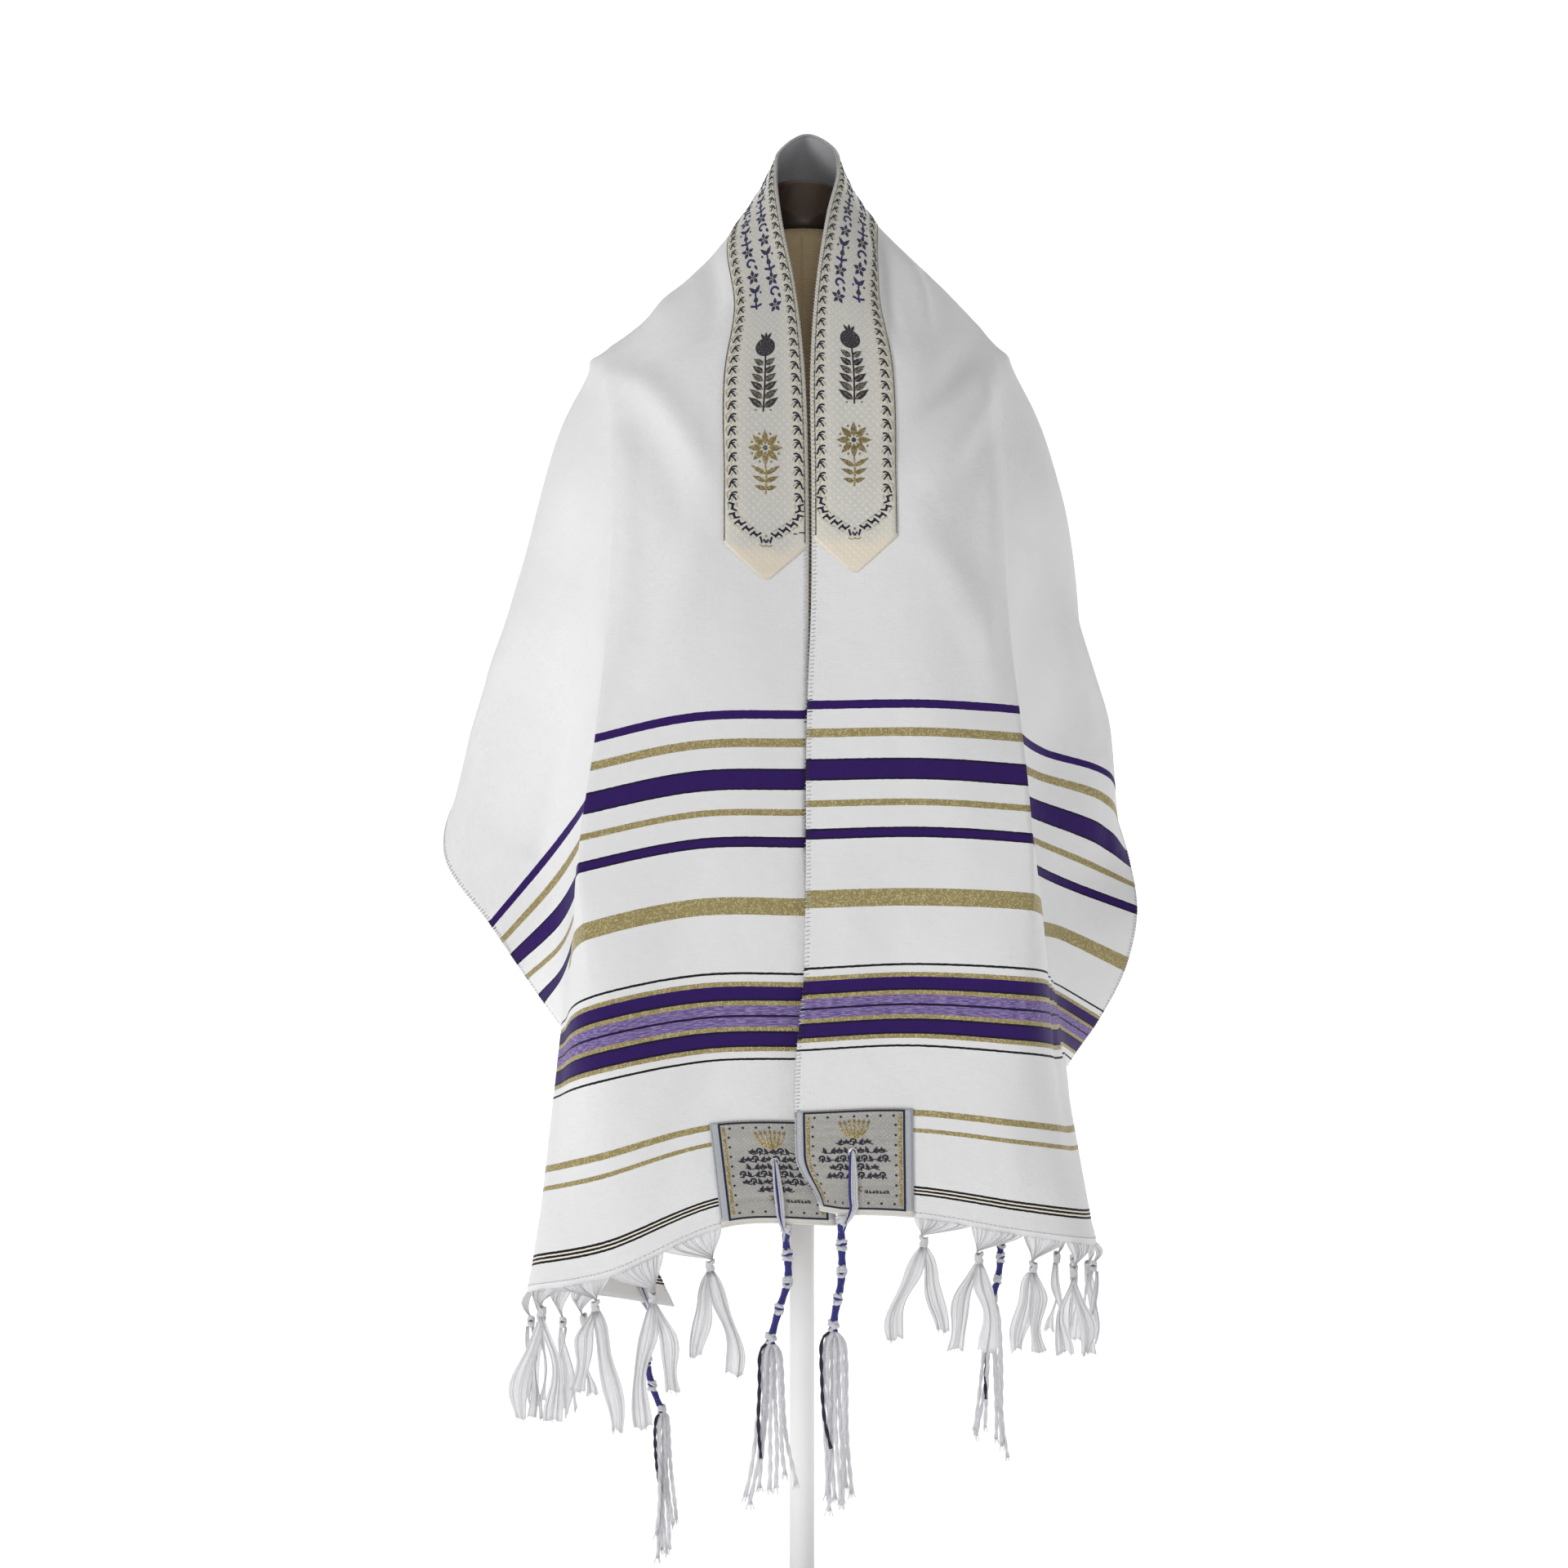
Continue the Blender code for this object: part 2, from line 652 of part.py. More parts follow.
def loop_path(drape, corner, front_root, back_root):
    """Middle line of the cord that runs from the first knot, through the eyelet and back."""
    front = CLOTH_WALL / 2 + SEAT_GAP + PATCH_WALL + CORD_CLEARANCE + CORD_HALF
    behind = -(CLOTH_WALL / 2 + CORD_CLEARANCE + CORD_HALF)
    rim = EYELET_U - 0.0030
    stops = ((0.006, front), (0.026, front), (rim, front + 0.0006), (EYELET_U + 0.0015, 0.0008),
             (rim, behind - 0.0006), (0.026, behind), (0.006, behind))
    path = [front_root]
    for u, off in stops:
        point, normal, _ = drape.frame(corner.side, u, corner.v)
        path.append(point + normal * off)
    path.append(back_root)
    return path


def tassel_loop(solid, drape, corner, cells, normal):
    """Joins the front and back cells of the first knot with a cord through the eyelet."""
    front = max(((1, 0), (1, 2), (0, 1), (2, 1)), key=lambda c: cell_middle(solid, cells[c]) @ normal)
    back = (2 - front[0], 2 - front[1])
    path = loop_path(drape, corner, cell_middle(solid, cells[front]), cell_middle(solid, cells[back]))
    ring = list(cells[front])
    root = np.array([solid.points[i] for i in ring])
    offsets = root - root.mean(axis=0)
    offsets *= CORD_HALF * math.sqrt(2) / np.linalg.norm(offsets, axis=1, keepdims=True)
    heading = Vector((0, 0, 1))
    for k in range(1, len(path) - 1):
        ahead = Vector(path[k + 1] - path[k - 1]).normalized()
        turn = np.array(heading.rotation_difference(ahead).to_matrix())
        offsets = offsets @ turn.T
        heading = ahead
        following = solid.add(path[k] + offsets)
        solid.bridge(ring, following)
        ring = following
    target = list(cells[back])
    places = np.array([solid.points[i] for i in target])
    last = np.array([solid.points[i] for i in ring])
    shift = min(range(4), key=lambda k: sum(np.linalg.norm(last[m] - places[(k - m) % 4]) for m in range(4)))
    solid.bridge(ring, [target[(shift - m) % 4] for m in range(4)])
    return front, back


def cell_middle(solid, cell):
    return np.mean([solid.points[i] for i in cell], axis=0)


def build_tassel(drape, corner, finish):
    """A knotted and wound corner tassel: loop, knots and windings, and eight strands."""
    knots = np.array(corner.knots, float) / 1000 + (0, 0, DATUM)
    ends = np.array(corner.ends, float) / 1000 + (0, 0, DATUM)
    _, normal, _ = drape.frame(corner.side, 0.01, corner.v)
    flat = np.array((normal[0], normal[1], 0))
    y_axis = flat / np.linalg.norm(flat)
    x_axis = np.cross(y_axis, (0, 0, 1))
    solid = Solid()
    levels = [(0.0, KNOT_RADIUS * 0.8), (0.035, KNOT_RADIUS)]
    for k in range(WINDINGS):
        start = (k + 0.32) / WINDINGS
        stop = (k + 0.84) / WINDINGS
        levels += [(start, WINDING_RADIUS), (stop, WINDING_RADIUS), ((k + 1) / WINDINGS, KNOT_RADIUS)]
    at = np.linspace(0, 1, len(knots))
    rings = []
    for part, radius in levels:
        centre = curve(at, knots, [part])[0]
        rings.append(ring_about(solid, centre, x_axis, y_axis, radius, RING_ANGLES))
    for above, below in zip(rings, rings[1:]):
        for k in range(12):
            n = (k + 1) % 12
            solid.quad(above[k], below[k], below[n], above[n])
    core = ring_about(solid, knots[0], x_axis, y_axis, KNOT_RADIUS * 0.36, CORE_ANGLES)
    cells = cap_cells(rings[0], core)
    used = tassel_loop(solid, drape, corner, cells, normal)
    for place, cell in cells.items():
        if place not in used:
            solid.quad(*cell)
    tassel_strands(solid, rings[-1], knots[-1], ends, x_axis, y_axis)
    solid.build("tassel_" + corner.name, finish)


def tassel_strands(solid, ring, head, ends, x_axis, y_axis):
    core = ring_about(solid, head - (0, 0, 0.002), x_axis, y_axis, KNOT_RADIUS * 0.36, CORE_ANGLES)
    cells = cap_cells(ring, core)
    solid.quad(*cells[1, 1][::-1])
    order = ((0, 0), (0, 1), (0, 2), (1, 0), (1, 2), (2, 0), (2, 1), (2, 2))
    for k, place in enumerate(order):
        root = list(cells[place])[::-1]
        corners = np.array([solid.points[i] for i in root])
        start = corners.mean(axis=0)
        offsets = corners - start
        offsets *= STRAND_HALF * math.sqrt(2) / np.linalg.norm(offsets, axis=1, keepdims=True)
        spread = (start - head) * (1, 1, 0)
        end = curve(np.linspace(0, 7, len(ends)), ends, [k])[0] + (0, 0, 0.006 * math.sin(2.4 * k))
        centres = []
        for part in (0.1, 0.35, 0.65, 1.0):
            bulge = spread * 1.1 * math.sin(math.pi * part) + spread * 0.4
            centres.append((start + (end - start) * part + bulge, 1.0))
        grow(solid, root, centres, offsets)


def lofted(solid, sections, sides, power):
    """A closed body through oval levels, from the lowest to the highest."""
    rings = []
    for row in sections:
        ring = []
        for k in range(sides):
            angle = 2 * math.pi * k / sides
            c, s = math.cos(angle), math.sin(angle)
            x = math.copysign(abs(c) ** power, c) * row.half_width / 1000
            y = math.copysign(abs(s) ** power, s) * row.half_depth / 1000 + row.back / 1000
            ring.append((x, y, row.z / 1000 + DATUM))
        rings.append(solid.add(ring))
    for below, above in zip(rings, rings[1:]):
        solid.bridge(below, above)
    for ring, turned in ((rings[0], True), (rings[-1], False)):
        centre = np.mean([solid.points[i] for i in ring], axis=0)
        (hub,) = solid.add([centre])
        for k in range(sides):
            pair = (ring[k], ring[(k + 1) % sides])
            solid.face(hub, *(pair[::-1] if turned else pair))


def build_form(linen, wood):
    torso = Solid()
    lofted(torso, TORSO_SECTIONS, FORM_SIDES, 0.9)
    torso.build("form_torso", linen)
    cap = Solid()
    lofted(cap, CAP_SECTIONS, CAP_SIDES, 1.0)
    cap.build("form_neck_cap", wood)


def turned_body(name, profile, sides, finish):
    """A closed body turned about the z axis from (radius, height) pairs, lowest first."""
    solid = Solid()
    rings = []
    for radius, height in profile:
        angles = [2 * math.pi * k / sides for k in range(sides)]
        rings.append(solid.add((radius * math.cos(a), radius * math.sin(a), height) for a in angles))
    for below, above in zip(rings, rings[1:]):
        solid.bridge(below, above)
    for ring, height, turned in ((rings[0], profile[0][1], True), (rings[-1], profile[-1][1], False)):
        (hub,) = solid.add([(0, 0, height)])
        for k in range(sides):
            pair = (ring[k], ring[(k + 1) % sides])
            solid.face(hub, *(pair[::-1] if turned else pair))
    solid.build(name, finish)


def build_stand(metal):
    base_profile = (
        (BASE_RADIUS - BASE_EDGE, 0.0),
        (BASE_RADIUS, BASE_EDGE),
        (BASE_RADIUS, BASE_HEIGHT - BASE_EDGE),
        (BASE_RADIUS - BASE_EDGE, BASE_HEIGHT),
        (SOCKET_RADIUS + 0.004, BASE_HEIGHT),
        (SOCKET_RADIUS, BASE_HEIGHT + 0.004),
        (SOCKET_RADIUS, SOCKET_TOP - 0.002),
        (SOCKET_RADIUS - 0.002, SOCKET_TOP),
    )
    turned_body("stand_base", base_profile, 48, metal)
    pole_profile = ((POLE_RADIUS, SOCKET_TOP + PIECE_GAP), (POLE_RADIUS, POLE_TOP))
    turned_body("stand_pole", pole_profile, 20, metal)


def main():
    clear_scene()
    drape = Drape()
    cloth = material("white_woven_viscose", (0.82, 0.81, 0.82), 0.8)
    brocade = material("cream_brocade", (0.62, 0.60, 0.54), 0.55)
    satin = material("silver_satin", (0.36, 0.37, 0.40), 0.45)
    yarn = material("white_yarn", (0.85, 0.85, 0.86), 0.85)
    wool = material("white_and_blue_cord", (0.55, 0.55, 0.70), 0.85)
    linen = material("natural_linen", (0.52, 0.41, 0.27), 0.9)
    wood = material("stained_wood", (0.08, 0.05, 0.03), 0.5)
    metal = material("white_painted_steel", (0.80, 0.80, 0.80), 0.35)
    build_shawl(drape, cloth)
    build_band(drape, brocade)
    build_patches(drape, satin)
    build_fringe(drape, -1, "fringe_left", yarn)
    build_fringe(drape, 1, "fringe_right", yarn)
    for corner in CORNERS:
        build_tassel(drape, corner, wool)
    build_form(linen, wood)
    build_stand(metal)


main()
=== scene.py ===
"""Looks of a tallit prayer shawl draped over a limbless dress form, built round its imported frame.

Lengths are metres unless a name or column says millimetres. The cloth is described twice: as it
lies flat, by u (distance from its fringed end) and v (distance from its neck edge), and as it
hangs, by a net of measured sections. Everything sewn on it is laid out flat and carried onto it.
"""

import logging
from collections.abc import Iterable
from dataclasses import dataclass
from enum import Enum, IntEnum
from math import cos, pi, radians, sin

import bpy
import numpy as np
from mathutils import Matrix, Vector


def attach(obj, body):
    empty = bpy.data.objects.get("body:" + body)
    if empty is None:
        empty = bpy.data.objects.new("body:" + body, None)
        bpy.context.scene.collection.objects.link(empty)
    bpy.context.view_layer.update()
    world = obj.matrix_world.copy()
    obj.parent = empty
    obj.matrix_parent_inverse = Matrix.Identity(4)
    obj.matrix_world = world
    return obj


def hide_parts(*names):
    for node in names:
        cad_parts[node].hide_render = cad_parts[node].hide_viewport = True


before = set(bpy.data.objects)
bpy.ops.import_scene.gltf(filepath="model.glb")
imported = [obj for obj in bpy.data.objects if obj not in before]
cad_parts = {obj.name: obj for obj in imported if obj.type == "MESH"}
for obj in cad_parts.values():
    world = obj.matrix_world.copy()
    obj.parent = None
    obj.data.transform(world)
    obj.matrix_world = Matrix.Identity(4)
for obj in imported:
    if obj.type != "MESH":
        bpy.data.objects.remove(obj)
logging.basicConfig(level=logging.INFO, format="%(message)s")
log = logging.getLogger("shawl")

CLOTH_LENGTH = 1.830
CLOTH_WIDTH = 0.510
HALF_LENGTH = CLOTH_LENGTH / 2
DATUM = 0.720
LINE_STEP = 0.005
CLOTH_HALF_WALL = 0.0003
V_NET = (0.0, 0.085, 0.170, 0.255, 0.340, 0.425, 0.510)
PATCH_SIDE = 0.088
EYELET_U = 0.0525
HEM_TOP = 0.016
HEM_SLOPE = 0.004

CAMERA_X = -0.0145
CAMERA_DISTANCE = 2.0
CAMERA_LENS = 56.818

Array = np.ndarray
Piece = bpy.types.Object
Finish = bpy.types.Material
Socket = bpy.types.NodeSocket


class Side(Enum):
    """Which end of the cloth: the viewer's left or right."""

    LEFT = -1
    RIGHT = 1


@dataclass(frozen=True)
class Section:
    """One line across the hung cloth, in millimetres: seven points from neck edge to lower edge."""

    u: float
    neck: tuple[float, float, float]
    band: tuple[float, float, float]
    crease: tuple[float, float, float]
    side: tuple[float, float, float]
    turn: tuple[float, float, float]
    ridge: tuple[float, float, float]
    lower: tuple[float, float, float]

    def points(self) -> Array:
        """Returns: the seven points in metres above the floor."""
        rows = (self.neck, self.band, self.crease, self.side, self.turn, self.ridge, self.lower)
        return np.array(rows, float) / 1000 + (0, 0, DATUM)


@dataclass(frozen=True)
class Flute:
    """One hanging fold of the lower edge: outward where depth is positive."""

    u: float
    half_width: float
    depth: float
    v_start: float


@dataclass(frozen=True)
class Crease:
    """A soft ridge (depth above 0) or trough laid along a line of the flat cloth, in millimetres."""

    u_from: float
    v_from: float
    u_to: float
    v_to: float
    half_width: float
    depth: float


@dataclass(frozen=True)
class Peak:
    """A place where the form pushes the cloth out (height above 0) or the cloth pulls in, in millimetres."""

    u: float
    v: float
    reach: float
    height: float


LEFT_SECTIONS = (
    Section(0.0000, (25, -150, -330), (-58, -158, -330), (-142, -165, -365), (-204, -148, -380),
            (-196, -70, -395), (-163, 8, -415), (-107, 75, -438)),
    Section(0.1370, (14, -146, -206), (-72, -152, -207), (-154, -160, -222), (-187, -110, -240),
            (-188, -33, -262), (-195, 45, -285), (-165, 118, -317)),
    Section(0.2425, (6, -142, -96), (-80, -150, -96), (-163, -154, -114), (-179, -88, -140),
            (-184, -8, -170), (-196, 68, -205), (-182, 140, -245)),
    Section(0.2950, (3, -140, -45), (-80, -150, -46), (-168, -148, -64), (-175, -68, -85),
            (-184, 12, -120), (-200, 82, -158), (-223, 132, -186)),
    Section(0.3925, (4, -138, 51), (-81, -146, 49), (-157, -136, 33), (-160, -53, 10),
            (-178, 25, -20), (-212, 72, -62), (-262, 92, -120)),
    Section(0.4700, (4, -133, 129), (-80, -143, 128), (-149, -120, 110), (-160, -40, 90),
            (-195, 30, 55), (-259, 68, 2), (-300, 85, -62)),
    Section(0.5600, (4, -125, 219), (-80, -134, 218), (-145, -104, 203), (-180, -28, 168),
            (-236, 22, 125), (-272, 72, 62), (-285, 128, 0)),
    Section(0.6500, (1, -108, 317), (-80, -112, 308), (-151, -72, 285), (-200, -15, 245),
            (-232, 52, 190), (-231, 112, 120), (-218, 155, 38)),
    Section(0.7200, (-6, -88, 384), (-70, -86, 364), (-152, -36, 336), (-186, 22, 302),
            (-194, 83, 232), (-178, 128, 150), (-162, 155, 60)),
    Section(0.7800, (-16, -66, 440), (-74, -45, 412), (-141, -5, 359), (-142, 62, 325),
            (-140, 105, 240), (-125, 132, 155), (-113, 150, 65)),
    Section(0.8400, (-20, -32, 488), (-58, 10, 440), (-78, 60, 375), (-80, 94, 310),
            (-73, 115, 225), (-65, 130, 142), (-60, 145, 58)),
    Section(0.8750, (-17, -2, 511), (-40, 42, 454), (-42, 82, 376), (-43, 104, 301),
            (-38, 118, 216), (-34, 130, 133), (-31, 142, 51)),
    Section(0.9150, (4, 19, 530), (0, 66, 458), (0, 92, 375), (0, 108, 295),
            (0, 120, 210), (0, 130, 127), (0, 140, 45)),
)

RIGHT_SECTIONS = (
    Section(0.0000, (-5, -160, -320), (79, -162, -322), (162, -160, -336), (218, -130, -348),
            (220, -48, -357), (198, 35, -367), (150, 100, -377)),
    Section(0.1370, (-5, -153, -199), (80, -154, -195), (164, -152, -201), (197, -100, -210),
            (207, -18, -216), (218, 62, -224), (232, 125, -236)),
    Section(0.1875, (0, -150, -149), (84, -151, -145), (168, -150, -149), (192, -88, -158),
            (200, -6, -168), (216, 62, -178), (254, 115, -202)),
    Section(0.2425, (1.5, -147.5, -90), (87, -148, -88), (172, -144, -92), (186, -75, -108),
            (194, 5, -120), (218, 60, -128), (275, 98, -156)),
    Section(0.2950, (2, -144, -39), (89, -146, -37), (172, -140, -42), (178, -60, -58),
            (190, 16, -70), (225, 62, -86), (282, 78, -107)),
    Section(0.3440, (2, -142, 10), (90, -144, 11), (169, -132, 6), (170, -50, -10),
            (188, 20, -20), (248, 66, -42), (279, 105, -65)),
    Section(0.3925, (3, -141, 58), (91, -144, 59), (164, -120, 55), (170, -42, 40),
            (198, 28, 25), (257, 70, 7), (272, 140, -28)),
    Section(0.4700, (6, -133, 135), (91, -142, 134), (157, -108, 122), (178, -32, 115),
            (224, 30, 86), (255, 82, 44), (258, 156, 2)),
    Section(0.5600, (6.5, -125, 225), (90, -132, 224), (152, -94, 211), (194, -27, 180),
            (234, 32, 128), (243, 95, 72), (226, 162, 25)),
    Section(0.6500, (6, -106, 324), (88, -110, 314), (153, -62, 295), (201, -8, 248),
            (214, 58, 190), (206, 112, 120), (182, 160, 42)),
    Section(0.7200, (11, -86, 392), (77, -84, 369), (149, -30, 345), (186, 25, 305),
            (184, 83, 232), (166, 128, 150), (142, 155, 60)),
    Section(0.7800, (19, -64, 446), (76, -38, 424), (131, 0, 375), (138, 62, 325),
            (136, 105, 240), (120, 132, 155), (105, 150, 65)),
    Section(0.8400, (28, -30, 491), (59, 10, 445), (76, 60, 375), (78, 94, 310),
            (71, 115, 225), (62, 130, 142), (56, 145, 58)),
    Section(0.8750, (25, -2, 513), (41, 42, 455), (42, 82, 375), (42, 104, 301),
            (37, 118, 216), (33, 130, 133), (30, 142, 51)),
)

FLUTES = {
    Side.LEFT: (
        Flute(0.640, 0.050, -0.016, 0.19),
        Flute(0.725, 0.048, 0.022, 0.19),
        Flute(0.800, 0.044, -0.018, 0.20),
        Flute(0.868, 0.040, 0.018, 0.22),
    ),
    Side.RIGHT: (
        Flute(0.495, 0.045, 0.010, 0.24),
        Flute(0.575, 0.045, -0.016, 0.20),
        Flute(0.650, 0.045, 0.024, 0.20),
        Flute(0.725, 0.045, -0.026, 0.20),
        Flute(0.800, 0.045, 0.026, 0.20),
        Flute(0.872, 0.040, -0.018, 0.22),
    ),
}

CREASES = {
    Side.LEFT: (
        Crease(708, 174, 560, 68, 12, 6.2),
        Crease(656, 166, 530, 92, 15, -4.0),
        Crease(540, 84, 420, 140, 17, 4.4),
        Crease(690, 166, 430, 158, 12, 3.2),
        Crease(470, 40, 330, 64, 18, 1.1),
        Crease(405, 82, 120, 130, 16, -1.2),
        Crease(140, 72, 82, 128, 9, -1.6),
        Crease(150, 96, 100, 140, 8, 1.2),
        Crease(795, 86, 690, 94, 11, -6.0),
        Crease(780, 124, 690, 128, 12, 2.4),
        Crease(790, 120, 715, 150, 12, 2.9),
        Crease(470, 330, 398, 442, 12, -4.5),
        Crease(430, 482, 398, 436, 8, 2.6),
        Crease(560, 250, 450, 300, 18, 2.2),
        Crease(620, 230, 520, 330, 16, -2.9),
        Crease(90, 100, 20, 112, 10, 1.2),
        Crease(250, 30, 60, 40, 15, -1.0),
        Crease(40, 240, 260, 262, 15, 3.0),
        Crease(60, 330, 300, 345, 16, -3.0),
        Crease(20, 420, 250, 440, 14, 2.9),
        Crease(560, 400, 690, 330, 17, 3.5),
        Crease(620, 470, 720, 400, 16, -3.2),
        Crease(790, 260, 850, 505, 14, 2.9),
        Crease(700, 300, 690, 505, 13, -2.7),
    ),
    Side.RIGHT: (
        Crease(722, 160, 580, 52, 15, -8.2),
        Crease(684, 164, 556, 76, 15, 7.8),
        Crease(530, 84, 395, 152, 18, 6.2),
        Crease(690, 152, 430, 140, 14, 5.2),
        Crease(500, 110, 420, 132, 10, -1.0),
        Crease(402, 62, 296, 62, 9, -1.4),
        Crease(292, 52, 112, 60, 15, -1.4),
        Crease(262, 24, 196, 28, 10, 1.4),
        Crease(380, 100, 190, 112, 16, 1.2),
        Crease(805, 50, 685, 72, 10, -8.2),
        Crease(775, 90, 700, 102, 10, 5.6),
        Crease(760, 142, 700, 176, 10, -1.6),
        Crease(580, 226, 420, 345, 17, -4.2),
        Crease(500, 330, 360, 430, 15, 2.9),
        Crease(330, 452, 440, 400, 13, -2.9),
        Crease(100, 150, 20, 160, 12, 1.2),
        Crease(30, 250, 270, 268, 15, -2.9),
        Crease(50, 350, 260, 372, 15, 3.0),
        Crease(560, 420, 690, 340, 16, -3.5),
        Crease(800, 240, 850, 500, 13, -2.6),
        Crease(700, 310, 720, 505, 14, 2.7),
        Crease(900, 200, 890, 500, 16, 1.9),
    ),
}

PEAKS = {
    Side.LEFT: (
        Peak(727, 188, 20, 12),
        Peak(640, 190, 42, -5),
        Peak(792, 150, 34, -6),
    ),
    Side.RIGHT: (
        Peak(722, 188, 20, 9),
        Peak(640, 190, 40, -3),
    ),
}


TURNED_LENGTH = 0.050
TURNED_WIDTH = 0.034
TURNED_BY = (0.017, -0.002, 0.003)


def each_side(table: dict[Side, tuple]) -> list[tuple]:
    """Args: rows by side. Returns: (side, row) pairs in order."""
    return [(side, row) for side, rows in table.items() for row in rows]


def ease(share: Array) -> Array:
    """Args: values from 0 to 1. Returns: the same, with a level start and end."""
    return share * share * (3 - 2 * share)


def on_hem(s: Array) -> Array:
    """Args: places along the cloth. Returns: 1 over the folded hem at its ends, falling to 0 above."""
    return np.clip((HEM_TOP - (HALF_LENGTH - np.abs(s))) / HEM_SLOPE, 0, 1)


def lengths(path: Array) -> Array:
    """Args: points of a path. Returns: the length of the path up to each."""
    return np.concatenate([[0], np.cumsum(np.linalg.norm(np.diff(path, axis=0), axis=1))])


def circle(angles: Array, across: Array, up: Array) -> Array:
    """Args: angles, and the vectors to 0 and to 90 degrees. Returns: the points of a circle or an oval."""
    return np.cos(angles)[:, None] * across + np.sin(angles)[:, None] * up


def slopes(knots: Array, values: Array) -> Array:
    """Tangents through uneven knots.

    Args:
        knots: rising positions.
        values: one entry a knot, of any shape.
    Returns:
        One tangent a knot.
    """
    steps = np.diff(knots)
    shape = (-1,) + (1,) * (values.ndim - 1)
    rates = np.diff(values, axis=0) / steps.reshape(shape)
    before = steps[:-1].reshape(shape)
    after = steps[1:].reshape(shape)
    inner = (rates[:-1] * after + rates[1:] * before) / (before + after)
    return np.concatenate([rates[:1], inner, rates[-1:]])


def curve(knots: Array | tuple, values: Array, where: Array | list,
          corner: int | None = None, sharp: Array | float = 0.0) -> Array:
    """Cubic Hermite curve through values at knots.

    Args:
        knots: rising positions of values.
        values: one entry a knot, of any shape.
        where: positions to read.
        corner: the knot at which the curve folds, if any.
        sharp: how sharply it folds there, from 0 (smooth) to 1.
    Returns:
        The curve at each of where.
    """
    knots = np.asarray(knots, float)
    tangents = slopes(knots, values)
    arriving, leaving = tangents, tangents
    if corner is not None:
        arriving, leaving = tangents.copy(), tangents.copy()
        for one, near in ((arriving, corner - 1), (leaving, corner)):
            rate = (values[near + 1] - values[near]) / (knots[near + 1] - knots[near])
            one[corner] += sharp * (rate - tangents[corner])
    where = np.asarray(where, float)
    span = np.clip(np.searchsorted(knots, where) - 1, 0, len(knots) - 2)
    shape = (-1,) + (1,) * (values.ndim - 1)
    step = (knots[span + 1] - knots[span]).reshape(shape)
    t = ((where - knots[span]) / step.reshape(-1)).reshape(shape)
    return (
        (2 * t**3 - 3 * t**2 + 1) * values[span]
        + (t**3 - 2 * t**2 + t) * step * leaving[span]
        + (3 * t**2 - 2 * t**3) * values[span + 1]
        + (t**3 - t**2) * step * arriving[span + 1]
    )


def unit(vectors: Array) -> Array:
    """Returns: vectors scaled to length 1 along their last axis."""
    return vectors / np.maximum(np.linalg.norm(vectors, axis=-1, keepdims=True), 1e-12)


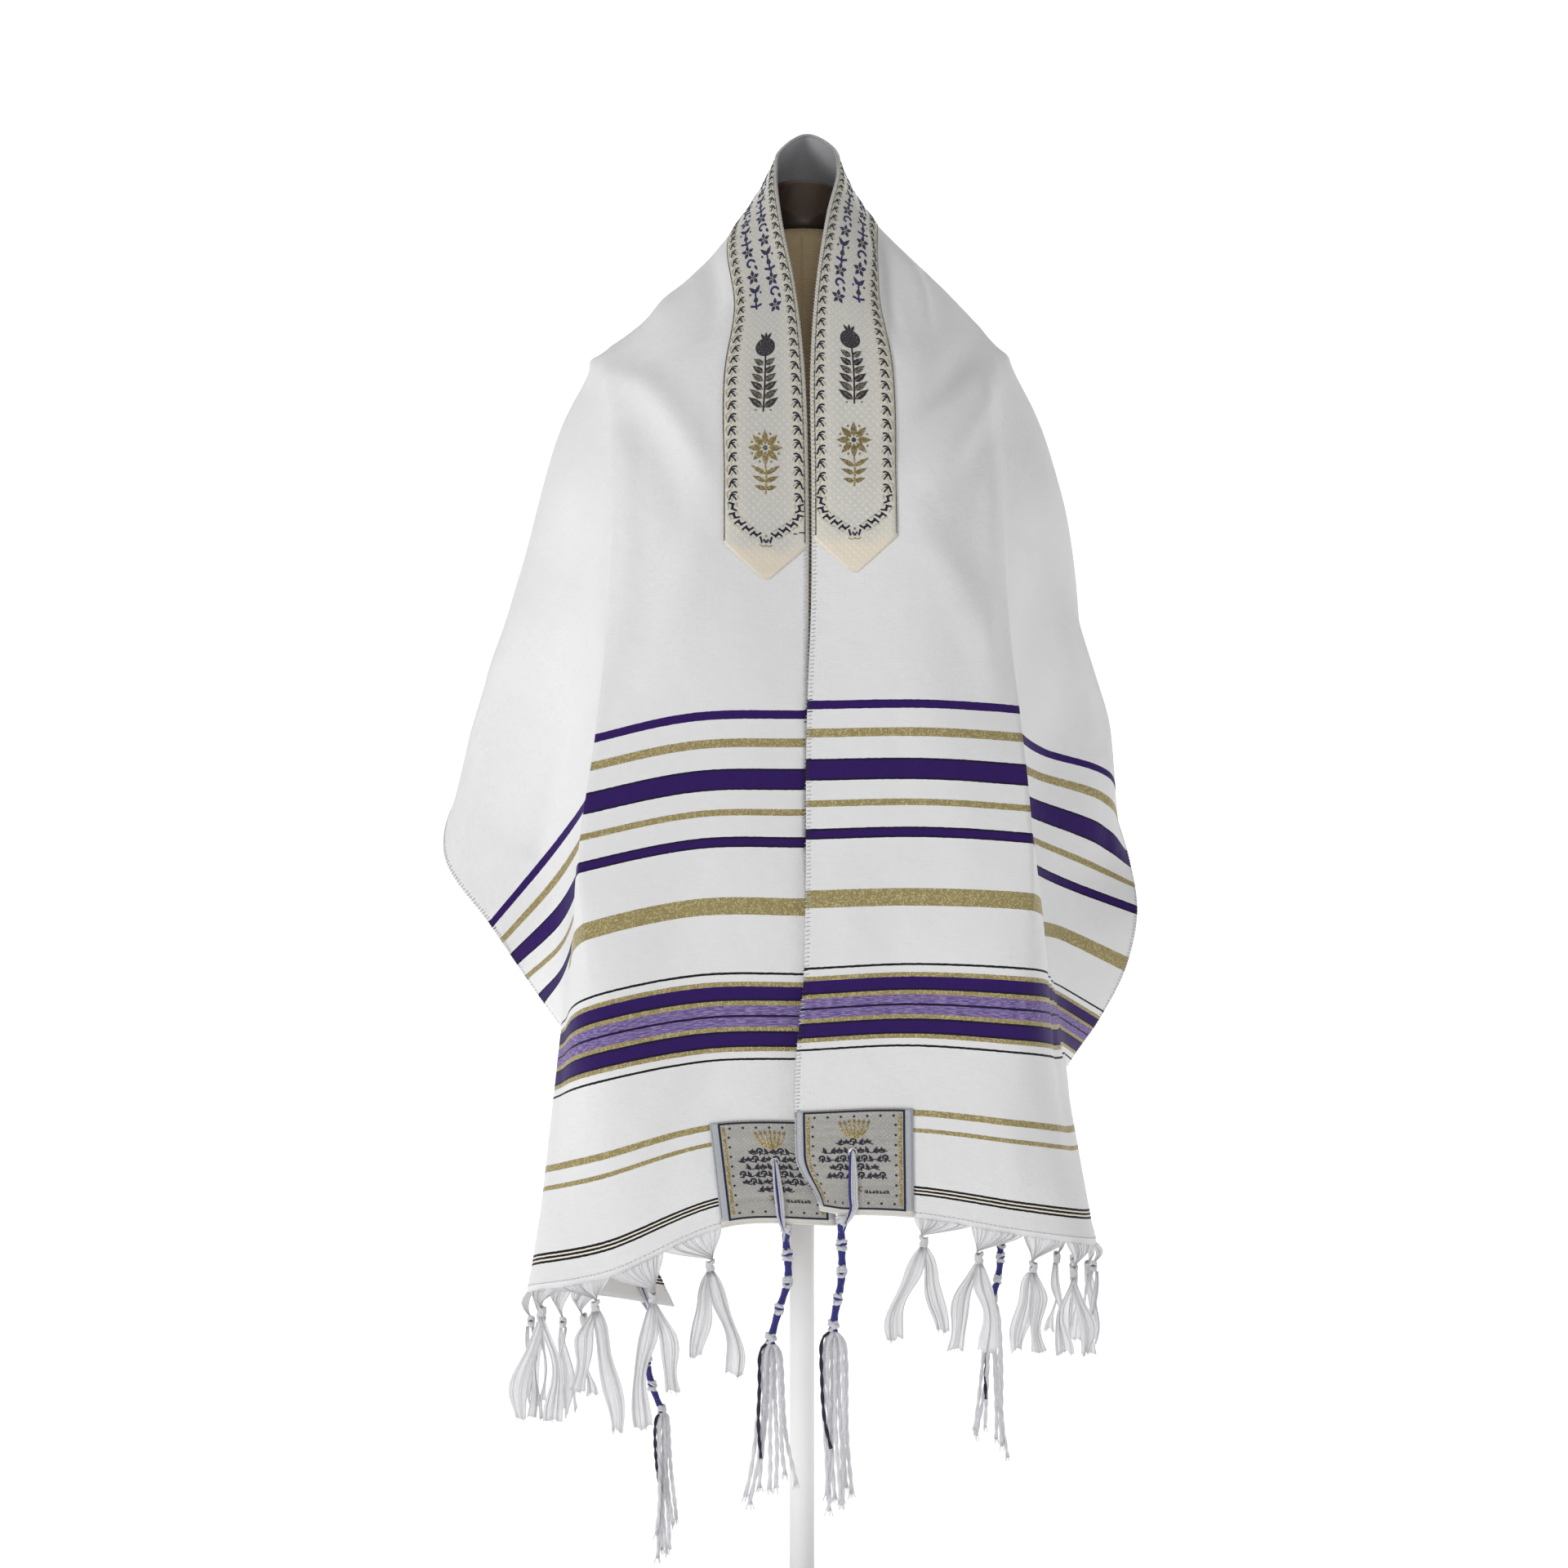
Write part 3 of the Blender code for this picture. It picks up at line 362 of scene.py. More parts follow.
class Drape:
    """The hung cloth on a grid of lines 5 mm apart, read anywhere in flat coordinates."""

    def __init__(self) -> None:
        """Hangs the plain cloth, then turns its corner, flutes it and creases it."""
        left = [(row.u - HALF_LENGTH, row.points()) for row in LEFT_SECTIONS]
        right = [(HALF_LENGTH - row.u, row.points()) for row in reversed(RIGHT_SECTIONS)]
        self.knots = np.array([at for at, _ in left + right])
        self.rows = np.array([points for _, points in left + right])
        self.s = np.linspace(-HALF_LENGTH, HALF_LENGTH, round(CLOTH_LENGTH / LINE_STEP) + 1)
        self.v = np.linspace(0, CLOTH_WIDTH, round(CLOTH_WIDTH / LINE_STEP) + 1)
        plain = self._net(self.s, self.v)
        plain += self._turned_corner()[..., None] * TURNED_BY
        fluted = plain + self._normals(plain) * self._fluting()[..., None]
        self.points = fluted + self._normals(fluted) * self._creasing()[..., None]
        self.normals = self._normals(self.points)

    def _net(self, s: Array, v: Array) -> Array:
        """Args: lines across the cloth and along it. Returns: the points where the plain drape has them."""
        rows = curve(self.knots, self.rows, s)
        u = HALF_LENGTH - np.abs(s)
        sharp = 0.85 * (np.clip((0.78 - u) / 0.08, 0, 1) * np.clip((u - 0.20) / 0.12, 0, 1))[:, None]
        return np.swapaxes(curve(V_NET, np.swapaxes(rows, 0, 1), v, 2, sharp), 0, 1)

    @staticmethod
    def _normals(points: Array) -> Array:
        """Args: a grid of points. Returns: the outward normal at each."""
        along = np.gradient(points, axis=0)
        across = np.gradient(points, axis=1)
        return unit(np.cross(along, across))

    def _turned_corner(self) -> Array:
        """Returns: how far each point is drawn in with the right front corner, from 0 to 1."""
        u = np.clip(1 - (HALF_LENGTH - self.s) / TURNED_LENGTH, 0, 1)
        v = np.clip(1 - self.v / TURNED_WIDTH, 0, 1)
        return np.outer(ease(u), v)

    def _fluting(self) -> Array:
        """Returns: how far the soft flutes push each point out. They deepen towards the lower edge."""
        total = np.zeros((len(self.s), len(self.v)))
        for side, flute in each_side(FLUTES):
            middle = side.value * (HALF_LENGTH - flute.u)
            share = np.clip(1 - np.abs(self.s - middle) / (2 * flute.half_width), 0, 1)
            hang = np.clip((self.v - flute.v_start) / (CLOTH_WIDTH - flute.v_start), 0, 1) ** 1.3
            total += flute.depth * np.outer(ease(share), hang)
        return total

    def _creasing(self) -> Array:
        """Returns: how far the bent creases, and then the peaks, push each point out."""
        total = np.zeros((len(self.s), len(self.v)))
        place = np.stack(np.meshgrid(self.s, self.v, indexing="ij"), axis=-1) * 1000
        for side, row in each_side(CREASES):
            start = np.array((side.value * (HALF_LENGTH * 1000 - row.u_from), row.v_from))
            end = np.array((side.value * (HALF_LENGTH * 1000 - row.u_to), row.v_to))
            run = end - start
            along = np.clip((place - start) @ run / (run @ run), 0, 1)
            bend = np.sin(along * pi) * row.half_width * 0.7
            turned = np.array((-run[1], run[0])) / np.linalg.norm(run)
            line = start + along[..., None] * run + bend[..., None] * turned
            away = np.linalg.norm(place - line, axis=-1) / row.half_width
            fade = np.sin(np.clip(along, 0.02, 0.98) * pi) ** 0.6
            total += row.depth / 1000 * np.exp(-away * away) * fade
        # A peak is pointed, as over the form's shoulder ends, and a hollow is round.
        for side, row in each_side(PEAKS):
            middle = np.array((side.value * (HALF_LENGTH * 1000 - row.u), row.v))
            away = np.linalg.norm(place - middle, axis=-1) / row.reach
            pointed = np.exp(-away) if row.height > 0 else np.exp(-away * away)
            total += row.height / 1000 * pointed
        return total

    def at(self, s: Array, v: Array, lift: Array | float = 0.0) -> Array:
        """Points of the cloth, extended straight past its edges.

        Args:
            s: distances along the cloth, 0 at the back's middle.
            v: distances from the neck edge.
            lift: distance outward from the cloth's middle surface.
        Returns:
            One point for each of s.
        """
        s, v = np.broadcast_arrays(np.asarray(s, float), np.asarray(v, float))
        across = (s + HALF_LENGTH) / LINE_STEP
        down = v / LINE_STEP
        i = np.clip(np.floor(across).astype(int), 0, len(self.s) - 2)
        j = np.clip(np.floor(down).astype(int), 0, len(self.v) - 2)
        a = (across - i)[..., None]
        b = (down - j)[..., None]
        result = []
        for table in (self.points, self.normals):
            result.append(
                (1 - a) * (1 - b) * table[i, j]
                + a * (1 - b) * table[i + 1, j]
                + (1 - a) * b * table[i, j + 1]
                + a * b * table[i + 1, j + 1]
            )
        return result[0] + unit(result[1]) * np.asarray(lift, float)[..., None]

    def normal(self, s: float, v: float) -> Array:
        """Reads the cloth's outward normal.

        Args:
            s: distance along the cloth, 0 at the back's middle.
            v: distance from the neck edge.
        Returns:
            The normal at the nearest point of the grid.
        """
        i = int(np.clip(round((s + HALF_LENGTH) / LINE_STEP), 0, len(self.s) - 1))
        j = int(np.clip(round(v / LINE_STEP), 0, len(self.v) - 1))
        return self.normals[i, j]


def linear(colour: str) -> tuple[float, float, float, float]:
    """Args: colour as #RRGGBB in sRGB. Returns: its linear values with alpha 1."""
    channels = [int(colour[k : k + 2], 16) / 255 for k in (1, 3, 5)]
    r, g, b = (c / 12.92 if c <= 0.04045 else ((c + 0.055) / 1.055) ** 2.4 for c in channels)
    return (r, g, b, 1.0)


def scale_of(size: float) -> float:
    """Args: a pattern's size in millimetres. Returns: the texture scale that gives it."""
    return 1000 / size


def wave_scale(pitch: float) -> float:
    """Args: the pitch of threads in millimetres. Returns: the wave texture's scale for it."""
    return scale_of(pitch) / (2 * pi)


class Graph:
    """A material's node tree, with the one function that adds a node to it."""

    def __init__(self, name: str) -> None:
        """Args: the new material's name."""
        self.material = bpy.data.materials.new(name)
        self.material.use_nodes = True
        self.tree = self.material.node_tree
        self.shader = self.tree.nodes["Principled BSDF"]

    def add(self, kind: str, inputs: tuple | dict = (), read: str = "", **settings: object) -> Socket:
        """Adds a node with its settings and links.

        Args:
            kind: the node's type name, without the ShaderNode prefix.
            inputs: what its inputs take, as in feed.
            read: the name of the output that is wanted, or nothing for the first one in use.
            settings: properties of the node.
        Returns:
            The output.
        """
        node = self.tree.nodes.new("ShaderNode" + kind)
        for key, value in settings.items():
            setattr(node, key, value)
        self.feed(node, inputs)
        return node.outputs[read] if read else next(socket for socket in node.outputs if socket.enabled)

    def feed(self, node: bpy.types.Node, inputs: tuple | dict) -> None:
        """Sets or links a node's inputs.

        Args:
            node: the node.
            inputs: values, #RRGGBB colours or sockets, for the inputs in use from the first on, or
                by input name.
        """
        if isinstance(inputs, dict):
            pairs = [(node.inputs[key], value) for key, value in inputs.items()]
        else:
            pairs = zip([socket for socket in node.inputs if socket.enabled], inputs)
        for socket, value in pairs:
            if isinstance(value, Socket):
                self.tree.links.new(value, socket)
            else:
                socket.default_value = linear(value) if isinstance(value, str) else value


class Thread(Enum):
    """The cloth's plain yarns, and those that its material mixes from two tones."""

    WHITE = "#F1F1F1"
    PURPLE_EDGE = "#1E1238"
    PALE = "#F3EDDD"
    BLACK = "#17151B"
    PURPLE = "dark and bright purple"
    LAVENDER = "lavender heather"
    GOLD = "gold lurex"


# Each thread's stripes: where they start and end, in millimetres from the fringed end.
HEM_STRIPES = {
    Thread.PALE: ((20.0, 21.1), (22.8, 23.9)),
    Thread.BLACK: ((18.3, 20.0), (21.1, 22.8), (23.9, 25.6)),
}
STRIPES = {
    Thread.PURPLE: ((145.2, 156.0), (178.6, 188.4), (291.2, 299.4), (335.6, 352.0), (389.2, 396.6)),
    Thread.LAVENDER: ((159.6, 174.8),),
    Thread.GOLD: ((67.7, 71.4), (82.0, 86.6), (142.6, 145.2), (156.0, 159.6), (174.8, 178.6),
                  (188.4, 191.4), (238.0, 252.0), (315.4, 320.8), (369.0, 374.4)),
    Thread.BLACK: ((135.0, 136.5), (195.8, 197.2)),
}
LAVENDER_LINE = (167.0, 168.4)
PURPLE_RIM = 1.0
STRIPE_SPAN = 420.0
HEM_SPAN = 30.0


@dataclass(frozen=True)
class WovenCloth:
    """Soft white plain-woven viscose, striped from one long edge to the other.

    Crossing threads and long flecks of uneven yarn give a matt white with a faint grain, and the
    lurex in the gold stripes glitters. Sizes are millimetres, and the thread pitch is drawn
    coarser than the cloth's own so that it shows.
    """

    name: str = "white_woven_viscose"
    thread_pitch: float = 0.55
    fleck: tuple[float, float] = (0.526, 7.69)
    cloud: float = 111.0
    swell: float = 29.4
    lurex: float = 1.11
    waver: float = 3.85
    waver_reach: float = 0.7
    roughness: float = 0.82

    def make(self) -> Finish:
        """Returns: the material, which reads the flat coordinates as its UV."""
        g = Graph(self.name)
        flat = g.add("UVMap", uv_map="flat")
        s = g.add("SeparateXYZ", (flat,))
        v = s.node.outputs[1]
        away = g.add("Math", (s,), operation="ABSOLUTE")
        u = self._from_end(g, flat, away)
        stretch = (scale_of(self.fleck[0]), scale_of(self.fleck[1]), 1)
        along = g.add("Mapping", {"Vector": flat, "Scale": stretch})
        fleck = g.add("TexNoise", (along, 1.0, 2))
        cloud = g.add("TexNoise", (flat, scale_of(self.cloud), 2))
        colour = g.add("Mix", (cloud, "#E9E9EA", Thread.WHITE.value), data_type="RGBA")
        pale = g.add("Math", (fleck, 0.22), operation="MULTIPLY")
        colour = g.add("Mix", (pale, colour, "#FAFAFC"), data_type="RGBA")
        spark = g.add("TexVoronoi", (flat, scale_of(self.lurex)))
        place = g.add("Math", (u, STRIPE_SPAN / 1000), operation="DIVIDE")
        gilt = self._mask(g, place, STRIPES[Thread.GOLD])
        for mask, tone in self._stripes(g, place, fleck, gilt, self._lurex(g, along, spark)):
            colour = g.add("Mix", (mask, colour, tone), data_type="RGBA")
        # A ramp holds 256 steps, so the hem's thin lines have a short one of their own.
        hem = g.add("Math", (u, HEM_SPAN / 1000), operation="DIVIDE")
        for thread, spans in HEM_STRIPES.items():
            mask = self._mask(g, hem, spans, HEM_SPAN)
            colour = g.add("Mix", (mask, colour, thread.value), data_type="RGBA")
        # Under the neck band, only the inner face of the neck shows, and its colour is mixed to grey there:
        # painted shade for the shadow inside the neck.
        under = g.add("MapRange", (v, 0.058, 0.063, 1.0, 0.0))
        near = g.add("MapRange", (away, 0.16, 0.10, 0.0, 0.85))
        painted_neck_shade = g.add("Math", (under, near), operation="MULTIPLY")
        colour = g.add("Mix", (painted_neck_shade, colour, "#A9A8AC"), data_type="RGBA")
        shine = g.add("Math", (gilt, 0.2), operation="MULTIPLY")
        smooth = g.add("Math", (gilt, 0.38), operation="MULTIPLY")
        rough = g.add("Math", (self.roughness, smooth), operation="SUBTRACT")
        raised = g.add("Math", (gilt, spark.node.outputs["Distance"]), operation="MULTIPLY")
        swell = g.add("TexNoise", (flat, scale_of(self.swell), 4))
        normal = g.add("Bump", {"Height": swell, "Distance": 0.0016})
        for height, depth in ((self._weave(g, flat), 0.00010), (fleck, 0.00022), (raised, 0.0006)):
            normal = g.add("Bump", {"Height": height, "Distance": depth, "Normal": normal})
        g.feed(g.shader, {"Base Color": colour, "Metallic": shine, "Roughness": rough, "Normal": normal})
        g.feed(g.shader, {"Sheen Weight": 0.12, "Sheen Roughness": 0.5, "Specular IOR Level": 0.2})
        return g.material

    def _from_end(self, g: Graph, flat: Socket, away: Socket) -> Socket:
        """Measures from the fringed end.

        Args:
            g: the material's graph.
            flat: the flat coordinates.
            away: the distance from the back's middle.
        Returns:
            The distance, which wavers a little as woven lines do.
        """
        reach = self.waver_reach / 1000
        noise = g.add("TexNoise", (flat, scale_of(self.waver), 3))
        waver = g.add("Math", (noise, reach), operation="MULTIPLY")
        u = g.add("Math", (HALF_LENGTH + reach / 2, away), operation="SUBTRACT")
        return g.add("Math", (u, waver), operation="SUBTRACT")

    def _mask(self, g: Graph, place: Socket, spans: Iterable[tuple[float, float]],
              length: float = STRIPE_SPAN) -> Socket:
        """Masks stripes.

        Args:
            g: the material's graph.
            place: where each point lies, as a share of length.
            spans: each stripe's start and end, rising and at most 15.
            length: what a share of 1 stands for, in millimetres as the spans are.
        Returns:
            1 inside the stripes and 0 elsewhere.
        """
        ramp = g.add("ValToRGB", (place,))
        ramp.node.color_ramp.interpolation = "CONSTANT"
        marks = ramp.node.color_ramp.elements
        marks.remove(marks[1])
        marks[0].color = (0, 0, 0, 1)
        for start, end in spans:
            marks.new(start / length).color = (1, 1, 1, 1)
            marks.new(end / length).color = (0, 0, 0, 1)
        return ramp

    def _lurex(self, g: Graph, along: Socket, spark: Socket) -> Socket:
        """Colours the gold stripes.

        Args:
            g: the material's graph.
            along: the flat coordinates, stretched along the yarn.
            spark: the metal thread's cells.
        Returns:
            Their colour, with the glints of their metal thread.
        """
        picked = g.add("SeparateXYZ", (spark.node.outputs["Color"],))
        glint = g.add("Math", (picked, 0.72), operation="GREATER_THAN")
        streak = g.add("TexNoise", (along, 1.0, 1))
        gold = g.add("Mix", (streak, "#8E7F50", "#B8A978"), data_type="RGBA")
        share = g.add("Math", (glint, 0.40), operation="MULTIPLY")
        return g.add("Mix", (share, gold, "#E8DBAA"), data_type="RGBA")

    def _stripes(self, g: Graph, place: Socket, fleck: Socket,
                 gilt: Socket, gold: Socket) -> list[tuple]:
        """Colours the stripes.

        Args:
            g: the material's graph.
            place: the distance from the fringed end, as a share of STRIPE_SPAN.
            fleck: the flecks of uneven yarn.
            gilt: the gold stripes' mask.
            gold: their colour.
        Returns:
            Each kind's mask and colour, in the order that they lie over the white.
        """
        purple = g.add("Mix", (fleck, "#240D4C", "#3A1A70"), data_type="RGBA")
        heather = g.add("Math", (fleck, 0.52), operation="GREATER_THAN")
        lavender = g.add("Mix", (heather, "#6B5993", "#9A89B8"), data_type="RGBA")
        dark = Thread.PURPLE_EDGE.value
        wide = STRIPES[Thread.PURPLE]
        rims = [rim for start, end in wide for rim in ((start, start + PURPLE_RIM), (end - PURPLE_RIM, end))]
        return [
            (self._mask(g, place, wide), purple),
            (self._mask(g, place, rims), dark),
            (self._mask(g, place, STRIPES[Thread.LAVENDER]), lavender),
            (self._mask(g, place, [LAVENDER_LINE]), dark),
            (gilt, gold),
            (self._mask(g, place, STRIPES[Thread.BLACK]), Thread.BLACK.value),
        ]

    def _weave(self, g: Graph, flat: Socket) -> Socket:
        """Weaves plain threads.

        Args:
            g: the material's graph.
            flat: the flat coordinates.
        Returns:
            The height of the crossing threads.
        """
        scale = wave_scale(self.thread_pitch)
        threads = [g.add("TexWave", (flat, scale), "Fac", bands_direction=way) for way in ("X", "Y")]
        return g.add("Math", tuple(threads), operation="MULTIPLY")


@dataclass(frozen=True)
class Jacquard:
    """Figured weave of rayon with a little lurex: fine diamonds under a cool satin sheen.

    Sizes are millimetres. Borders is the band's width, whose edges look warmer than its middle
    because the lurex lies thickest there, and plain_end is the colour of the unfigured tip.
    """

    name: str
    light: str
    dark: str
    warm: str
    diamond: float
    roughness: float
    contrast: float = 0.6
    glitter: float = 0.35
    borders: float = 0.0
    streaks: float = 0.0
    plain_end: str = ""
    fleck: tuple[float, float] = (0.4545, 4.545)
    cloud: float = 33.3
    streak: tuple[float, float] = (4.76, 111.0)
    lurex: float = 0.6667

    def make(self) -> Finish:
        """Returns: the material, which reads the flat coordinates as its UV."""
        g = Graph(self.name)
        flat = g.add("UVMap", uv_map="flat")
        s = g.add("SeparateXYZ", (flat,))
        diamonds = self._diamonds(g, flat)
        stretch = (scale_of(self.fleck[0]), scale_of(self.fleck[1]), 1)
        fleck = g.add("TexNoise", (g.add("Mapping", {"Vector": flat, "Scale": stretch}), 1.0, 2))
        cloud = g.add("MapRange", (g.add("TexNoise", (flat, scale_of(self.cloud), 2)), 0.35, 0.65))
        figure = g.add("Math", (diamonds, self.contrast), operation="MULTIPLY")
        colour = g.add("Mix", (figure, self.dark, self.light), data_type="RGBA")
        middle = g.add("Math", (s.node.outputs[1], self.borders / 2000), operation="SUBTRACT")
        away = g.add("Math", (middle,), operation="ABSOLUTE")
        edge = g.add("MapRange", (away, 0.010, 0.024, 0.0, 0.75 if self.borders else 0.0))
        patchy = g.add("Math", (cloud, 0.25), operation="MULTIPLY")
        warmth = g.add("Math", (edge, patchy), operation="MAXIMUM")
        colour = g.add("Mix", (warmth, colour, self.warm), data_type="RGBA")
        # Brighter streaks are painted sheen: the light colour is screened over where long stretched noise is
        # high, as light catches satin.
        if self.streaks:
            stretch = (scale_of(self.streak[0]), scale_of(self.streak[1]), 1)
            lines = g.add("TexNoise", (g.add("Mapping", {"Vector": flat, "Scale": stretch}), 1.0, 3))
            lit = g.add("MapRange", (lines, 0.35, 0.7, 0.0, self.streaks))
            colour = g.add("Mix", (lit, colour, self.light), data_type="RGBA", blend_type="SCREEN")
        thin = g.add("Math", (fleck, 0.25), operation="MULTIPLY")
        colour = g.add("Mix", (thin, colour, "#E9E7E0"), data_type="RGBA")
        spark = g.add("TexVoronoi", (flat, scale_of(self.lurex)), "Color")
        picked = g.add("Math", (g.add("SeparateXYZ", (spark,)), 0.93), operation="GREATER_THAN")
        glint = g.add("Math", (picked, self.glitter), operation="MULTIPLY")
        colour = g.add("Mix", (glint, colour, "#FFFBE4"), data_type="RGBA")
        if self.plain_end:
            reach = g.add("Math", (s,), operation="ABSOLUTE")
            ragged = g.add("Math", (cloud, 0.006), operation="MULTIPLY")
            inset = g.add("Math", (reach, ragged), operation="ADD")
            u = g.add("Math", (HALF_LENGTH, inset), operation="SUBTRACT")
            past = g.add("MapRange", (u, 0.521, 0.510, 0.0, 0.85))
            colour = g.add("Mix", (past, colour, self.plain_end), data_type="RGBA")
        normal = g.add("Bump", {"Height": diamonds, "Distance": 0.00014})
        normal = g.add("Bump", {"Height": fleck, "Distance": 0.00014, "Normal": normal})
        g.feed(g.shader, {"Base Color": colour, "Roughness": self.roughness, "Normal": normal})
        g.feed(g.shader, {"Sheen Weight": 0.2, "Metallic": 0.12, "Specular IOR Level": 0.5})
        return g.material

    def _diamonds(self, g: Graph, flat: Socket) -> Socket:
        """Figures the weave.

        Args:
            g: the material's graph.
            flat: the flat coordinates.
        Returns:
            The height of its diamonds, from two slanting waves.
        """
        across = []
        for angle in (45, -45):
            turned = g.add("Mapping", {"Vector": flat, "Rotation": (0, 0, radians(angle))})
            across.append(g.add("TexWave", (turned, wave_scale(self.diamond)), "Fac"))
        return g.add("Math", tuple(across), operation="MULTIPLY")


@dataclass(frozen=True)
class Yarn:
    """Spun or twisted yarn: fine slanting plies along its length, fuzzy and matt unless it is lurex.

    Sizes are millimetres, drawn as coarse as they need to show.
    """

    name: str
    colour: str
    shade: str
    ply: float = 1.1
    roughness: float = 0.8
    metallic: float = 0.0
    glitter: float = 0.0
    glow: float = 0.0
    fuzz: float = 0.385
    lurex: float = 0.6667

    def make(self) -> Finish:
        """Returns: the material, which reads turns round (x) and length along (y) as its UV."""
        g = Graph(self.name)
        around = g.add("SeparateXYZ", (g.add("UVMap", uv_map="flat"),))
        plies = g.add("Math", (around.node.outputs[1], self.ply / 1000), operation="DIVIDE")
        slant = g.add("Math", (plies, around), operation="ADD")
        turns = g.add("Math", (slant, 2 * pi), operation="MULTIPLY")
        ply = g.add("Math", (turns,), operation="SINE")
        place = g.add("TexCoord", read="Object")
        fuzz = g.add("TexNoise", (place, scale_of(self.fuzz), 2))
        tone = g.add("Math", (fuzz, 0.8), operation="MULTIPLY")
        colour = g.add("Mix", (tone, self.shade, self.colour), data_type="RGBA")
        if self.glitter:
            spark = g.add("TexVoronoi", (place, scale_of(self.lurex)), "Color")
            lit = g.add("Math", (g.add("SeparateXYZ", (spark,)), 0.7), operation="GREATER_THAN")
            glint = g.add("Math", (lit, self.glitter), operation="MULTIPLY")
            colour = g.add("Mix", (glint, colour, "#FFF6CF"), data_type="RGBA")
        height = g.add("Math", (ply, fuzz), operation="ADD")
        normal = g.add("Bump", {"Height": height, "Distance": 0.00016})
        g.feed(g.shader, {"Base Color": colour, "Roughness": self.roughness, "Normal": normal})
        g.feed(g.shader, {"Metallic": self.metallic, "Sheen Weight": 0.2})
        if self.glow:
            lit = g.add("BsdfTranslucent", {"Color": colour})
            both = g.add("MixShader", (self.glow, g.shader.outputs[0], lit))
            g.feed(g.tree.nodes["Material Output"], {"Surface": both})
        return g.material


@dataclass(frozen=True)
class LooseYarn:
    """Unspun fringe yarn: sheer and streaked along its length, so light and what lies behind show.

    Streaks is how many lie across a tail, and streak_length is in millimetres.
    """

    name: str = "sheer_white_yarn"
    streaks: float = 14.0
    streak_length: float = 45.5
    cover: float = 0.60
    glow: float = 0.74

    def make(self) -> Finish:
        """Returns: the material, which reads across (x, 0 to 1) and length (y) as its UV."""
        g = Graph(self.name)
        stretch = (self.streaks, scale_of(self.streak_length), 1)
        along = g.add("Mapping", {"Vector": g.add("UVMap", uv_map="flat"), "Scale": stretch})
        streak = g.add("TexNoise", (along, 1.0, 3))
        colour = g.add("Mix", (streak, "#EFEFF2", "#FBFBFC"), data_type="RGBA")
        spread = g.add("MapRange", (streak, 0.36, 0.60, self.cover, 0.96))
        normal = g.add("Bump", {"Height": streak, "Distance": 0.0002})
        g.feed(g.shader, {"Base Color": colour, "Roughness": 0.75, "Normal": normal})
        g.feed(g.shader, {"Alpha": spread, "Sheen Weight": 0.2})
        glow = g.add("BsdfTranslucent", {"Color": colour})
        lit = g.add("MixShader", (spread, g.add("BsdfTransparent"), glow))
        both = g.add("MixShader", (self.glow, g.shader.outputs[0], lit))
        g.feed(g.tree.nodes["Material Output"], {"Surface": both})
        return g.material


@dataclass(frozen=True)
class Linen:
    """Natural linen: uneven crossing threads with darker slubs. Sizes are millimetres."""

    name: str = "natural_linen"
    thread_pitch: float = 0.9
    slub: tuple[float, float] = (0.6667, 16.67)
    cloud: float = 71.4

    def make(self) -> Finish:
        """Returns: the material, in object coordinates."""
        g = Graph(self.name)
        place = g.add("TexCoord", read="Object")
        thin, long = scale_of(self.slub[0]), scale_of(self.slub[1])
        threads = []
        for stretch in ((thin, thin, long), (long, long, thin)):
            threads.append(g.add("TexNoise", (g.add("Mapping", {"Vector": place, "Scale": stretch}), 1.0, 2)))
        crossed = g.add("Math", tuple(threads), operation="ADD")
        mixed = g.add("Math", (crossed, 0.5), operation="MULTIPLY")
        colour = g.add("Mix", (mixed, "#C9AE80", "#F0DDB8"), data_type="RGBA")
        cloud = g.add("TexNoise", (place, scale_of(self.cloud), 3))
        aged = g.add("Math", (cloud, 0.35), operation="MULTIPLY")
        colour = g.add("Mix", (aged, colour, "#C4AB82"), data_type="RGBA")
        wave = g.add("TexWave", (place, wave_scale(self.thread_pitch)), "Fac", bands_direction="Z")
        normal = g.add("Bump", {"Height": wave, "Distance": 0.00012})
        normal = g.add("Bump", {"Height": mixed, "Distance": 0.0003, "Normal": normal})
        g.feed(g.shader, {"Base Color": colour, "Roughness": 0.9, "Normal": normal, "Sheen Weight": 0.15})
        return g.material


